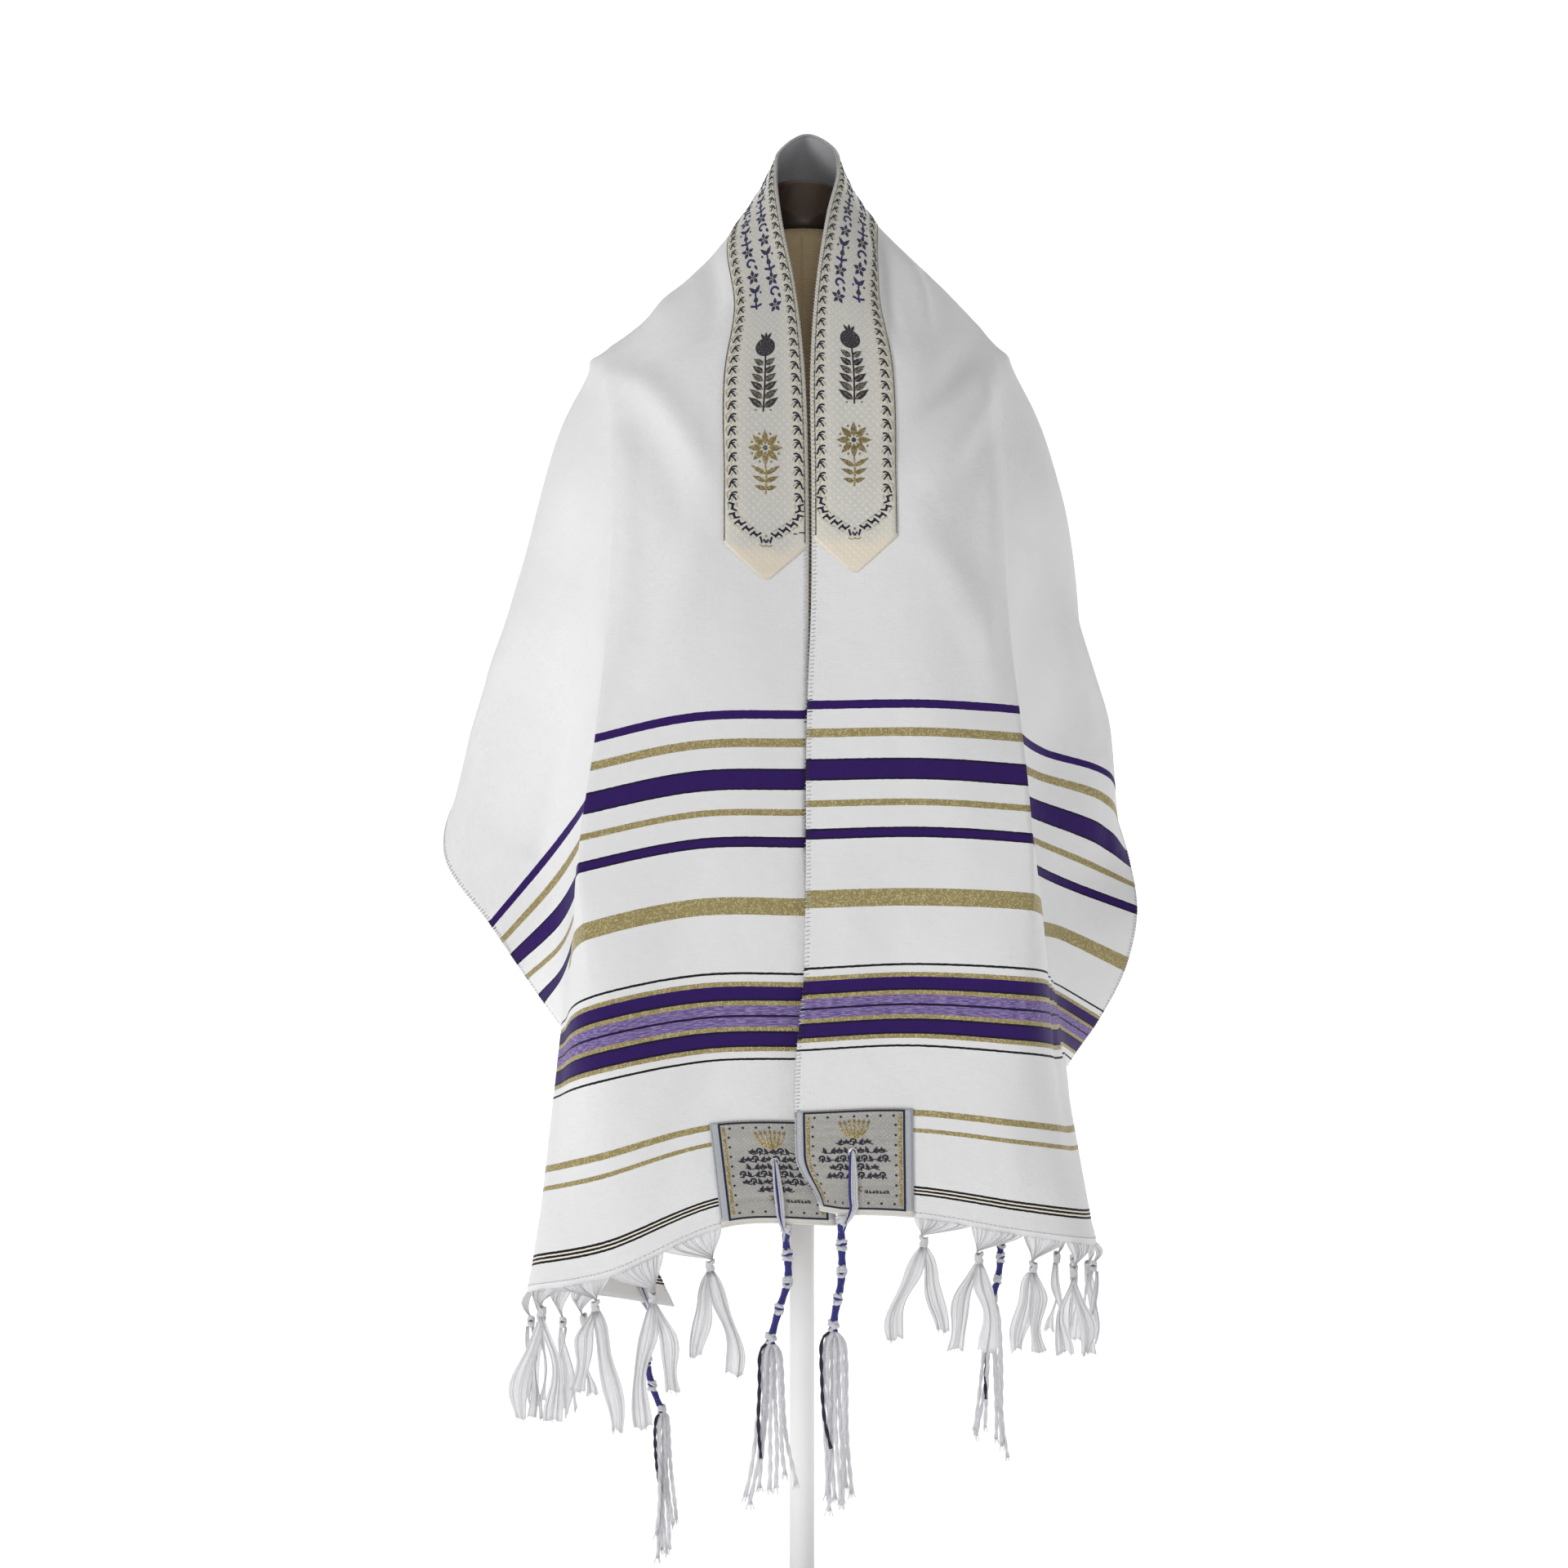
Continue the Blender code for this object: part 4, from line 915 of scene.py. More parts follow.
@dataclass(frozen=True)
class StainedWood:
    """Dark stained wood under a thin satin varnish, with long fine grain.

    The colour is darker below a shallow V: painted shade. Grain sizes are
    millimetres, as is the height of the V's point above the datum.
    """

    name: str = "stained_wood"
    grain: tuple[float, float] = (38.5, 2.38)
    shade_v_point: float = 447.5
    shade_v_slope: float = 0.75

    def make(self) -> Finish:
        """Returns: the material, in object coordinates."""
        g = Graph(self.name)
        place = g.add("TexCoord", read="Object")
        long, fine = scale_of(self.grain[0]), scale_of(self.grain[1])
        grain = g.add("TexNoise", (g.add("Mapping", {"Vector": place, "Scale": (long, fine, long)}), 1.0, 5))
        colour = g.add("Mix", (grain, "#35271D", "#5C4737"), data_type="RGBA")
        # Painted shade: the colour darkens below a shallow V, whose point lies at a set height above the
        # datum.
        x = g.add("SeparateXYZ", (place,))
        off = g.add("Math", (x, 0.003), operation="SUBTRACT")
        aside = g.add("Math", (off,), operation="ABSOLUTE")
        slope = g.add("Math", (aside, self.shade_v_slope), operation="MULTIPLY")
        height = g.add("Math", (x.node.outputs[2], DATUM + self.shade_v_point / 1000), operation="SUBTRACT")
        above = g.add("Math", (height, slope), operation="SUBTRACT")
        painted_v_shade = g.add("MapRange", (above, -0.0004, 0.0004, 0.62, 0.0))
        colour = g.add("Mix", (painted_v_shade, colour, "#211711"), data_type="RGBA")
        uneven = g.add("Math", (grain, 0.2), operation="MULTIPLY")
        rough = g.add("Math", (uneven, 0.36), operation="ADD")
        normal = g.add("Bump", {"Height": grain, "Distance": 0.00015})
        g.feed(g.shader, {"Base Color": colour, "Roughness": rough, "Normal": normal})
        g.feed(g.shader, {"Coat Weight": 0.15, "Coat Roughness": 0.3})
        return g.material


@dataclass(frozen=True)
class PaintedSteel:
    """White powder coat: a faint orange peel and a soft highlight. Sizes are millimetres."""

    name: str = "white_powder_coat"
    peel: float = 1.11
    wear: float = 45.5

    def make(self) -> Finish:
        """Returns: the material, in object coordinates."""
        g = Graph(self.name)
        place = g.add("TexCoord", read="Object")
        peel = g.add("TexNoise", (place, scale_of(self.peel), 2))
        worn = g.add("TexNoise", (place, scale_of(self.wear), 4))
        colour = g.add("Mix", (worn, "#F2F2F2", "#FAFAFA"), data_type="RGBA")
        uneven = g.add("Math", (worn, 0.15), operation="MULTIPLY")
        rough = g.add("Math", (uneven, 0.33), operation="ADD")
        normal = g.add("Bump", {"Height": peel, "Distance": 0.00006})
        g.feed(g.shader, {"Base Color": colour, "Roughness": rough, "Normal": normal})
        return g.material


@dataclass(frozen=True)
class Backdrop:
    """Matt studio paper, barely mottled, with a faint glow that keeps it white far from the lamps."""

    name: str = "white_studio_paper"
    mottle: float = 833.0
    glow: float = 0.45

    def make(self) -> Finish:
        """Returns: the material."""
        g = Graph(self.name)
        cloud = g.add("TexNoise", (g.add("TexCoord", read="Object"), scale_of(self.mottle), 2))
        colour = g.add("Mix", (cloud, "#F3F3F3", "#F7F7F7"), data_type="RGBA")
        g.feed(g.shader, {"Base Color": colour, "Roughness": 0.95, "Specular IOR Level": 0.0})
        g.feed(g.shader, {"Emission Color": (1, 1, 1, 1), "Emission Strength": self.glow})
        return g.material


class Palette:
    """Every finish, made once."""

    def __init__(self) -> None:
        """Makes them all."""
        self.cloth = WovenCloth().make()
        self.brocade = Jacquard("cream_brocade", "#EAE8E2", "#CDCBC5", "#E3DFD1", 2.1, 0.5,
                                glitter=0.45, borders=64, plain_end="#F0E3CF").make()
        self.satin = Jacquard("silver_satin", "#B5B3AF", "#8D8C8A", "#ACA492", 1.2, 0.40, 0.6, 0.25,
                              streaks=0.30).make()
        self.tape = Jacquard("ivory_tape", "#E6E3DA", "#D3D0C6", "#E2DED2", 1.2, 0.7, 0.4, 0.0).make()
        self.selvedge = Jacquard("grey_tape", "#C3C6CD", "#A7ACB5", "#B5B9C0", 1.0, 0.6, 0.4, 0.0).make()
        self.navy = Yarn("navy_thread", "#1F1D42", "#111027").make()
        self.royal = Yarn("royal_thread", "#2B2A7E", "#1B1A52").make()
        self.charcoal = Yarn("charcoal_thread", "#55535C", "#3B3940", 1.1, 0.7, 0.25, 0.35).make()
        self.gold = Yarn("gold_lurex_thread", "#CDB25F", "#8A7238", 1.1, 0.36, 0.45, 0.6).make()
        self.pale = Yarn("pale_lurex_thread", "#EEE6C6", "#C9BE93", 1.1, 0.40, 0.35, 0.6).make()
        self.white = Yarn("white_thread", "#FBFBFC", "#EDEDF0", glow=0.2).make()
        self.cord = Yarn("white_cord", "#FFFFFF", "#F4F4F8", 2.6, glow=0.5).make()
        self.blue = Yarn("blue_cord", "#33359A", "#202168", 2.6).make()
        self.sheer = LooseYarn().make()
        self.linen = Linen().make()
        self.wood = StainedWood().make()
        self.steel = PaintedSteel().make()
        self.paper = Backdrop().make()


class Bag:
    """Points, faces, UV coordinates and material slots gathered for one mesh."""

    def __init__(self) -> None:
        """Starts with nothing in it."""
        self.points: list[Array] = []
        self.coords: list[Array] = []
        self.faces: list[tuple[int, ...]] = []
        self.slots: list[int] = []
        self.count = 0

    def add(self, points: Array, coords: Array | None = None) -> int:
        """Adds points.

        Args:
            points: the points.
            coords: their UV coordinates, if any.
        Returns:
            The index of the first.
        """
        points = np.asarray(points, float).reshape(-1, 3)
        coords = np.zeros((len(points), 2)) if coords is None else np.asarray(coords).reshape(-1, 2)
        first = self.count
        self.points.append(points)
        self.coords.append(coords)
        self.count += len(points)
        return first

    def face(self, corners: tuple[int, ...], slot: int = 0) -> None:
        """Adds one face."""
        self.faces.append(tuple(int(c) for c in corners))
        self.slots.append(slot)

    def grid(self, points: Array, coords: Array, slot: int | Array = 0, wrap: bool = False,
             skip: set[tuple[int, int]] = frozenset()) -> Array:
        """Adds a grid of quads.

        Args:
            points: rows by columns by 3, wound so that rows crossed with columns faces out.
            coords: rows by columns by 2.
            slot: the material slot, or one for each cell.
            wrap: whether the last column joins the first.
            skip: cells left open, as (row, column).
        Returns:
            The index of each point, rows by columns.
        """
        rows, columns = points.shape[:2]
        index = self.add(points, coords) + np.arange(rows * columns).reshape(rows, columns)
        cells = columns if wrap else columns - 1
        slots = np.broadcast_to(slot, (rows - 1, cells))
        for i in range(rows - 1):
            for j in range(cells):
                if (i, j) in skip:
                    continue
                n = (j + 1) % columns
                self.face((index[i, j], index[i + 1, j], index[i + 1, n], index[i, n]), int(slots[i, j]))
        return index

    def tube(self, path: Array, radius: Array | float, sides: int = 6, slot: int = 0,
             flat: float = 1.0) -> None:
        """Adds a closed tube along path.

        Args:
            path: points, at least two.
            radius: one radius, or one a point.
            sides: how many sides it has.
            slot: the material slot.
            flat: how thick it is across, as a share of its width.
        """
        path = np.asarray(path, float)
        radius = np.broadcast_to(np.asarray(radius, float), (len(path),))
        ahead = unit(np.gradient(path, axis=0))
        first = np.cross(ahead[0], (0.0, 1.0, 0.05))
        if np.linalg.norm(first) < 0.1:
            first = np.cross(ahead[0], (1.0, 0.0, 0.0))
        side = unit(first)
        rings = []
        angles = np.arange(sides) * 2 * pi / sides
        length = lengths(path)
        coords = []
        for k, point in enumerate(path):
            side = unit(side - ahead[k] * (side @ ahead[k]))
            up = np.cross(ahead[k], side)
            ring = np.outer(np.cos(angles), side) + flat * np.outer(np.sin(angles), up)
            rings.append(point + radius[k] * ring)
            coords.append([(a / (2 * pi), length[k]) for a in angles])
        index = self.grid(np.array(rings)[:, ::-1], np.array(coords)[:, ::-1], slot, wrap=True)
        self.face(tuple(index[0][::1]), slot)
        self.face(tuple(index[-1][::-1]), slot)

    def build(self, name: str, materials: list[Finish], smooth: bool = True) -> Piece:
        """Args: the piece's name and its slots' materials. Returns: the linked object."""
        mesh = bpy.data.meshes.new(name)
        points = np.concatenate(self.points)
        mesh.from_pydata(points.tolist(), [], self.faces)
        layer = mesh.uv_layers.new(name="flat")
        corners = np.empty(len(mesh.loops), np.int32)
        mesh.loops.foreach_get("vertex_index", corners)
        layer.data.foreach_set("uv", np.concatenate(self.coords)[corners].astype(np.float32).ravel())
        for material in materials:
            mesh.materials.append(material)
        mesh.polygons.foreach_set("material_index", self.slots)
        mesh.polygons.foreach_set("use_smooth", [smooth] * len(self.faces))
        mesh.update()
        obj = bpy.data.objects.new(name, mesh)
        bpy.context.scene.collection.objects.link(obj)
        return obj


def close_rim(bag: Bag, top: Array, base: Array, holes: Iterable[tuple[int, int]] = ()) -> None:
    """Joins two grids of points that lie one above the other.

    Args:
        bag: what holds them.
        top: the upper grid's indices, rows by columns.
        base: the lower one's.
        holes: cells that both leave open, as (row, column).
    """
    rows, columns = top.shape
    rim = [(i, 0) for i in range(rows)]
    rim += [(rows - 1, j) for j in range(1, columns)]
    rim += [(i, columns - 1) for i in range(rows - 2, -1, -1)]
    rim += [(0, j) for j in range(columns - 2, 0, -1)]
    for ring in (rim, *([(i, j), (i, j + 1), (i + 1, j + 1), (i + 1, j)] for i, j in holes)):
        for a, b in zip(ring, ring[1:] + ring[:1]):
            bag.face((top[b], top[a], base[a], base[b]))


class Slot(Enum):
    """The record's material slots."""

    CLOTH = "white_woven_viscose"
    BAND = "cream_brocade"
    PATCH = "silver_satin"
    YARN = "white_yarn"
    CORD = "white_and_blue_cord"
    LINEN = "natural_linen"
    WOOD = "stained_wood"
    STEEL = "white_painted_steel"


def publish(obj: Piece, slot: Slot, *nodes: str) -> Piece:
    """Makes obj ride on the frame and stand for its CAD nodes.

    Args:
        obj: the piece.
        slot: the record's material slot; not used.
        nodes: the CAD nodes that it replaces, if any.
    Returns:
        The same piece.
    """
    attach(obj, "root")
    if nodes:
        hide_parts(*nodes)
    triangles = sum(len(face.vertices) - 2 for face in obj.data.polygons)
    log.info("%s: %d triangles", obj.name, triangles)
    return obj


@dataclass(frozen=True)
class Place:
    """A flat spot on the cloth with its own axes: x to the right and y up, seen from outside.

    Its place on the cloth is in metres, and its own axes are in millimetres times its scale.
    """

    side: Side
    u: float
    v: float
    turn: float = 0.0
    scale: float = 1.0

    def spread(self, x: Array, y: Array) -> tuple[Array, Array]:
        """Args: local x and y. Returns: s along the cloth and v across it."""
        x = np.asarray(x, float) * self.scale / 1000
        y = np.asarray(y, float) * self.scale / 1000
        c, s = cos(self.turn), sin(self.turn)
        right = c * x - s * y
        up = s * x + c * y
        sign = self.side.value
        return sign * (HALF_LENGTH - self.u - up), self.v + sign * right


BLOT_CROWN = 0.0003


class BandThread(IntEnum):
    """The band embroidery's threads, as its material slots."""

    NAVY, GOLD, CHARCOAL, ROYAL, PALE = range(5)


class PatchThread(IntEnum):
    """The patch embroidery's threads, as its material slots."""

    NAVY, GOLD, GREY, WHITE = range(4)


class Needle:
    """Lays thread on the cloth: lines, dots and leaves, raised a little from what they lie on.

    What it lays is given in a place's own millimetres.
    """

    def __init__(self, drape: Drape, bag: Bag, lift: float, over_hem: float = 0.0) -> None:
        """Readies the needle.

        Args:
            drape: the cloth that it sews on.
            bag: what takes the thread.
            lift: how far from the cloth's middle surface the thread starts.
            over_hem: how much further that is over the folded hem.
        """
        self.drape = drape
        self.bag = bag
        self.lift = lift
        self.over_hem = over_hem

    def _lay(self, s: Array, v: Array, lift: float) -> Array:
        """Returns: points on the cloth at the needle's lift and more."""
        return self.drape.at(s, v, self.lift + lift + self.over_hem * on_hem(s))

    def line(self, place: Place, path: list[tuple[float, float]], width: float, slot: int,
             crown: float = 0.32) -> None:
        """Adds a flat raised thread.

        Args:
            place: where the local axes lie.
            path: local points.
            width: the thread's width.
            slot: the material slot.
            crown: how far its middle stands up, as a share of its width.
        """
        points = np.array(path, float)
        ahead = unit(np.gradient(points, axis=0))
        across = np.stack([-ahead[:, 1], ahead[:, 0]], axis=1) * width / 2
        rows = []
        coords = []
        length = lengths(points) / 1000
        for offset, lift in ((1.0, 0.0), (0.0, width / 1000 * crown), (-1.0, 0.0)):
            moved = points + across * offset
            s, v = place.spread(moved[:, 0], moved[:, 1])
            rows.append(self._lay(s, v, lift))
            coords.append(np.stack([np.full(len(length), offset / 2 + 0.5), length], axis=1))
        self.bag.grid(np.array(rows), np.array(coords), slot)

    def blot(self, place: Place, outline: list[tuple[float, float]], slot: int) -> None:
        """Adds a filled shape that crowns in its middle, from a convex outline.

        Args:
            place: where the local axes lie.
            outline: its local points.
            slot: its thread's material slot.
        """
        rim = np.array(outline, float)
        following = np.roll(rim, -1, axis=0)
        if np.sum(rim[:, 0] * following[:, 1] - rim[:, 1] * following[:, 0]) < 0:
            rim = rim[::-1]
        middle = rim.mean(axis=0)
        s, v = place.spread(rim[:, 0], rim[:, 1])
        first = self.bag.add(self._lay(s, v, 0.0), rim / 10)
        s, v = place.spread(middle[:1], middle[1:])
        hub = self.bag.add(self._lay(s, v, BLOT_CROWN), [middle / 10])
        for k in range(len(rim)):
            self.bag.face((hub, first + k, first + (k + 1) % len(rim)), slot)

    def dot(self, place: Place, x: float, y: float, radius: float, slot: int) -> None:
        """Adds one small round stitch."""
        turns = np.arange(7) * 2 * pi / 7
        self.blot(place, [(x + radius * cos(a), y + radius * sin(a)) for a in turns], slot)

    def leaf(self, place: Place, x: float, y: float, angle: float, length: float, width: float,
             slot: int) -> None:
        """Adds one pointed leaf that grows from (x, y) at angle.

        Args:
            place: where the local axes lie.
            x: where it starts, to the right.
            y: where it starts, upward.
            angle: its direction in radians.
            length: its length.
            width: its greatest width.
            slot: its thread's material slot.
        """
        c, s = cos(angle), sin(angle)
        outline = []
        for part, side in ((0, 0), (0.25, 1), (0.55, 0.95), (1, 0), (0.55, -0.95), (0.25, -1)):
            a, b = part * length, side * width / 2
            outline.append((x + a * c - b * s, y + a * s + b * c))
        self.blot(place, outline, slot)


@dataclass(frozen=True)
class Shawl:
    """The one woven cloth, from its left fringed end round the neck to its right one."""

    hem_fold: float = 0.0006
    stitch_pitch: float = 0.0030
    stitch_depth: float = 0.0034
    stitch_radius: float = 0.00034
    hem_line: float = 0.0045
    hem_stitch: float = 0.0034
    over_band: float = 0.0013
    band_from: float = 522.0

    def build(self, drape: Drape, palette: Palette) -> list[Piece]:
        """Builds the cloth.

        Args:
            drape: the hung cloth.
            palette: the finishes.
        Returns:
            The cloth and its edge stitching.
        """
        bag = Bag()
        coords = np.stack(np.meshgrid(drape.s, drape.v, indexing="ij"), axis=-1)
        half = CLOTH_HALF_WALL + self._hems(drape)
        holes = {hole_cell(corner) for corner in CORNERS}
        top = bag.grid(drape.points + drape.normals * half, coords, skip=holes)
        under = drape.points - drape.normals * half
        last = len(drape.v) - 2
        base = bag.grid(under[:, ::-1], coords[:, ::-1], skip={(i, last - j) for i, j in holes})
        close_rim(bag, top, base[:, ::-1], holes)
        cloth = bag.build("shawl_cloth", [palette.cloth])
        publish(cloth, Slot.CLOTH, "shawl_left", "shawl_back", "shawl_right")
        return [cloth, self._edge_stitches(drape, palette)]

    def _hems(self, drape: Drape) -> Array:
        """Folds the hems.

        Args:
            drape: the hung cloth.
        Returns:
            How much further out they lie, for each point of the cloth's grid.
        """
        u = HALF_LENGTH - np.abs(drape.s)
        ends = np.clip((0.014 - u) / 0.002, 0, 1)
        return (ends * self.hem_fold)[:, None, None] * np.ones((1, len(drape.v), 1))

    def _edge_stitches(self, drape: Drape, palette: Palette) -> Piece:
        """Sews the edges.

        Args:
            drape: the hung cloth.
            palette: the finishes.
        Returns:
            Stitches over both long edges, dark at dark stripes, and along each hem.
        """
        bag = Bag()
        count = round(CLOTH_LENGTH / self.stitch_pitch)
        dark = [*HEM_STRIPES[Thread.BLACK], *STRIPES[Thread.BLACK], *STRIPES[Thread.PURPLE]]
        for edge in (0, 1):
            for k in range(count):
                s = -HALF_LENGTH + (k + 0.5) * self.stitch_pitch
                u = 1000 * (HALF_LENGTH - abs(s))
                tinted = any(start - 1 < u < end + 1 for start, end in dark)
                slant = self.stitch_pitch * 0.32
                inward = self.stitch_depth * (1 + 0.12 * sin(k * 2.7))
                over = self.over_band if edge == 0 and u > self.band_from else 0.0
                inward -= over
                # Each stop is (share of the slant, distance from the edge, lift).
                stops = np.array(((0.0, inward, 0.0006 + over), (0.4, 0.0008, 0.0009 + over),
                                  (0.55, -0.0006, over / 2), (0.7, 0.0008, -0.0009), (1.0, inward, -0.0006)))
                across = stops[:, 1] if edge == 0 else CLOTH_WIDTH - stops[:, 1]
                path = drape.at(s + slant * (stops[:, 0] - 0.5), across, stops[:, 2])
                bag.tube(path, self.stitch_radius, 4, int(tinted))
        for side in Side:
            for k in range(int((CLOTH_WIDTH - 2 * PATCH_SIDE) / self.hem_stitch)):
                v = PATCH_SIDE + (k + np.linspace(0.1, 0.78, 4)) * self.hem_stitch
                s = np.full(4, side.value * (HALF_LENGTH - self.hem_line))
                lift = 0.0009 + 0.0003 * np.sin(np.linspace(0, pi, 4))
                bag.tube(drape.at(s, v, lift), 0.0004, 4, 0)
        obj = bag.build("edge_overcasting", [palette.white, palette.navy])
        return publish(obj, Slot.CLOTH)


def hole_cell(corner: "Corner") -> tuple[int, int]:
    """Returns: the cell of the cloth's grid that a corner's cords pass through."""
    s = corner.side.value * (HALF_LENGTH - EYELET_U)
    return (int((s + HALF_LENGTH) / LINE_STEP), int(corner.v / LINE_STEP))


@dataclass(frozen=True)
class NeckBand:
    """A cream brocade band with a pointed end on each side of the neck."""

    width: float = 0.064
    corner_u: float = 0.5215
    tip_u: float = 0.4930
    wall: float = 0.0007
    seat: float = 0.0005
    border_inset: float = 0.0072
    border_pitch: float = 0.0096
    borders_from: float = 0.552
    sprigs_from: float = 0.708
    sprig_pitch: float = 0.0061

    def build(self, drape: Drape, palette: Palette) -> list[Piece]:
        """Builds the band.

        Args:
            drape: the hung cloth.
            palette: the finishes.
        Returns:
            The band and its embroidery.
        """
        reach = HALF_LENGTH - self.corner_u
        middle = drape.s[np.abs(drape.s) < reach - 0.001]
        rows = [(s, 1.0) for s in (-reach, *middle, reach)]
        steps = (0.25, 0.5, 0.75, 0.95)
        before = [(-reach - t * (self.corner_u - self.tip_u), 1 - t) for t in reversed(steps)]
        rows = before + rows + [(-s, share) for s, share in reversed(before)]
        columns = np.linspace(0, 1, 14) - 0.5
        s = np.array([[row[0]] * 14 for row in rows])
        v = np.array([self.width * (0.5 + columns * row[1]) for row in rows])
        bag = Bag()
        coords = np.stack([s, v], axis=-1)
        low = CLOTH_HALF_WALL + self.seat
        crown = self.wall * (1 - 0.6 * np.abs(columns * 2) ** 12)
        top = bag.grid(drape.at(s, v, low + crown[None, :]), coords)
        base = bag.grid(drape.at(s, v, low)[:, ::-1], coords[:, ::-1])[:, ::-1]
        close_rim(bag, top, base)
        band = bag.build("neck_band_brocade", [palette.brocade])
        publish(band, Slot.BAND, "neck_band")
        return [band, self._embroidery(drape, palette, low + self.wall)]

    def _embroidery(self, drape: Drape, palette: Palette, lift: float) -> Piece:
        """Embroiders the band.

        Args:
            drape: the hung cloth.
            palette: the finishes.
            lift: how far from the cloth's middle surface it starts.
        Returns:
            All its embroidery.
        """
        bag = Bag()
        needle = Needle(drape, bag, lift + 0.00015)
        for side in Side:
            self._borders(needle, side)
            self._end(needle, side)
            self._branch(needle, Place(side, 0.6500, 0.0320, 0.03 * side.value, 1.55))
            self._rosette(needle, Place(side, 0.5810, 0.0320, 0.0, 1.72))
            sprigs = int((HALF_LENGTH - self.sprigs_from) / self.sprig_pitch) + 1
            for k in range(sprigs):
                u = self.sprigs_from + self.sprig_pitch * k
                self._sprig(needle, Place(side, u, 0.0220 + 0.0195 * (k % 2), 0.0, 1.62), k)
            run = [(0, 1000 * u) for u in np.linspace(self.corner_u + 0.002, HALF_LENGTH, 80)]
            needle.line(Place(side, 0, 0.0031), run, 0.9, BandThread.CHARCOAL, crown=0.3)
            needle.line(Place(side, 0, self.width - 0.0008), run, 0.7, BandThread.CHARCOAL, crown=0.2)
            if side is Side.LEFT:
                self._tacks(needle)
        slots = [palette.navy, palette.gold, palette.charcoal, palette.royal, palette.pale]
        return publish(bag.build("neck_band_embroidery", slots), Slot.BAND)

    def _borders(self, needle: Needle, side: Side) -> None:
        """Adds the hooks along both edges of one side of the band.

        Args:
            needle: what lays the thread.
            side: which side.
        """
        count = int((HALF_LENGTH - self.borders_from) / self.border_pitch) + 1
        for k in range(count):
            u = self.borders_from + (k + 0.5) * self.border_pitch
            for v, mirror in ((self.border_inset, 1), (self.width - self.border_inset, -1)):
                self._hook(needle, Place(side, u, v), -mirror * side.value)

    def _hook(self, needle: Needle, place: Place, outer: int) -> None:
        """Adds one border unit: a forked navy leaf, with gold curls on both sides.

        Args:
            needle: what lays the thread.
            place: the unit's middle.
            outer: 1 if the band's edge lies to the right, or -1 to the left.
        """
        navy, pale = BandThread.NAVY, BandThread.PALE
        strokes = (
            (((-3.6, 3.2), (-1.6, 3.6), (0.4, 2.6), (1.6, 0.6), (2.0, -1.4), (3.0, -2.8)), 1.3, navy),
            (((1.2, 1.2), (-0.6, 0.4), (-1.8, -0.9), (-2.9, -2.5)), 1.2, navy),
            (((-2.2, 1.5), (-0.6, 1.6), (0.8, 0.8)), 1.0, navy),
            (((0.4, 4.2), (2.4, 4.4), (4.0, 3.2), (4.4, 1.0), (3.8, -1.2)), 0.95, pale),
            (((-1.0, -0.8), (0.4, -2.0), (0.8, -4.0)), 0.85, pale),
            (((-4.6, -1.4), (-3.8, 0.4), (-2.6, 0.8)), 0.85, pale),
        )
        for path, width, slot in strokes:
            needle.line(place, [(outer * x, y) for x, y in path], width, slot)

    def _end(self, needle: Needle, side: Side) -> None:
        """Adds the forked bars, set end to end with gaps, that meet above the band's point.

        Args:
            needle: what lays the thread.
            side: which side of the band.
        """
        place = Place(side, 0.5215, self.width / 2)
        stations = ((24.8, 31.0), (24.9, 23.6), (21.6, 17.4), (16.0, 13.0), (10.2, 9.0), (4.6, 5.2))
        # Each stroke's points are (share of the bar's run, distance to its left).
        strokes = (
            (((0.12, 0), (0.38, 0), (0.64, 0)), 1.8, BandThread.NAVY),
            (((0.02, 3.2), (0.14, 0), (0.20, -1.6)), 1.4, BandThread.NAVY),
            (((0.62, 1.4), (0.66, 0), (0.84, -3.4)), 1.4, BandThread.NAVY),
            (((0, 4.2), (0.40, 3.0), (0.7, 3.4)), 0.9, BandThread.PALE),
            (((0, -3.2), (0.45, -3.4)), 0.9, BandThread.PALE),
        )
        for sign in (-1, 1):
            for start, end in zip(stations, stations[1:]):
                first = np.array((start[0] * sign, start[1]))
                run = np.array((end[0] * sign, end[1])) - first
                left = np.array((-run[1], run[0])) / np.linalg.norm(run) * sign
                for path, width, slot in strokes:
                    needle.line(place, [tuple(first + run * t + left * w) for t, w in path], width, slot)
            peak = [(sign * x, y) for x, y in ((4.2, 5.6), (3.0, 1.0), (1.5, 3.6), (0.0, 0.9))]
            needle.line(place, peak, 1.6, BandThread.NAVY)
            foot = [(sign * x, y) for x, y in ((4.6, -0.6), (2.4, -2.0), (0.0, -1.0))]
            needle.line(place, foot, 0.9, BandThread.GOLD)
        needle.dot(place, 0, 6.2, 1.0, BandThread.GOLD)

    def _tacks(self, needle: Needle) -> None:
        """Adds the few dark tacking stitches that hold the left end down beside the opening.

        Args:
            needle: what lays the thread.
        """
        for u, v, reach in ((531, 5.5, 2.2), (530, 10.5, 1.4), (547, 4.5, 1.2), (544, 8.0, 0.9)):
            place = Place(Side.LEFT, u / 1000, v / 1000)
            needle.line(place, [(-reach, 0), (0, 0.2), (reach, 0)], 0.9, BandThread.NAVY)

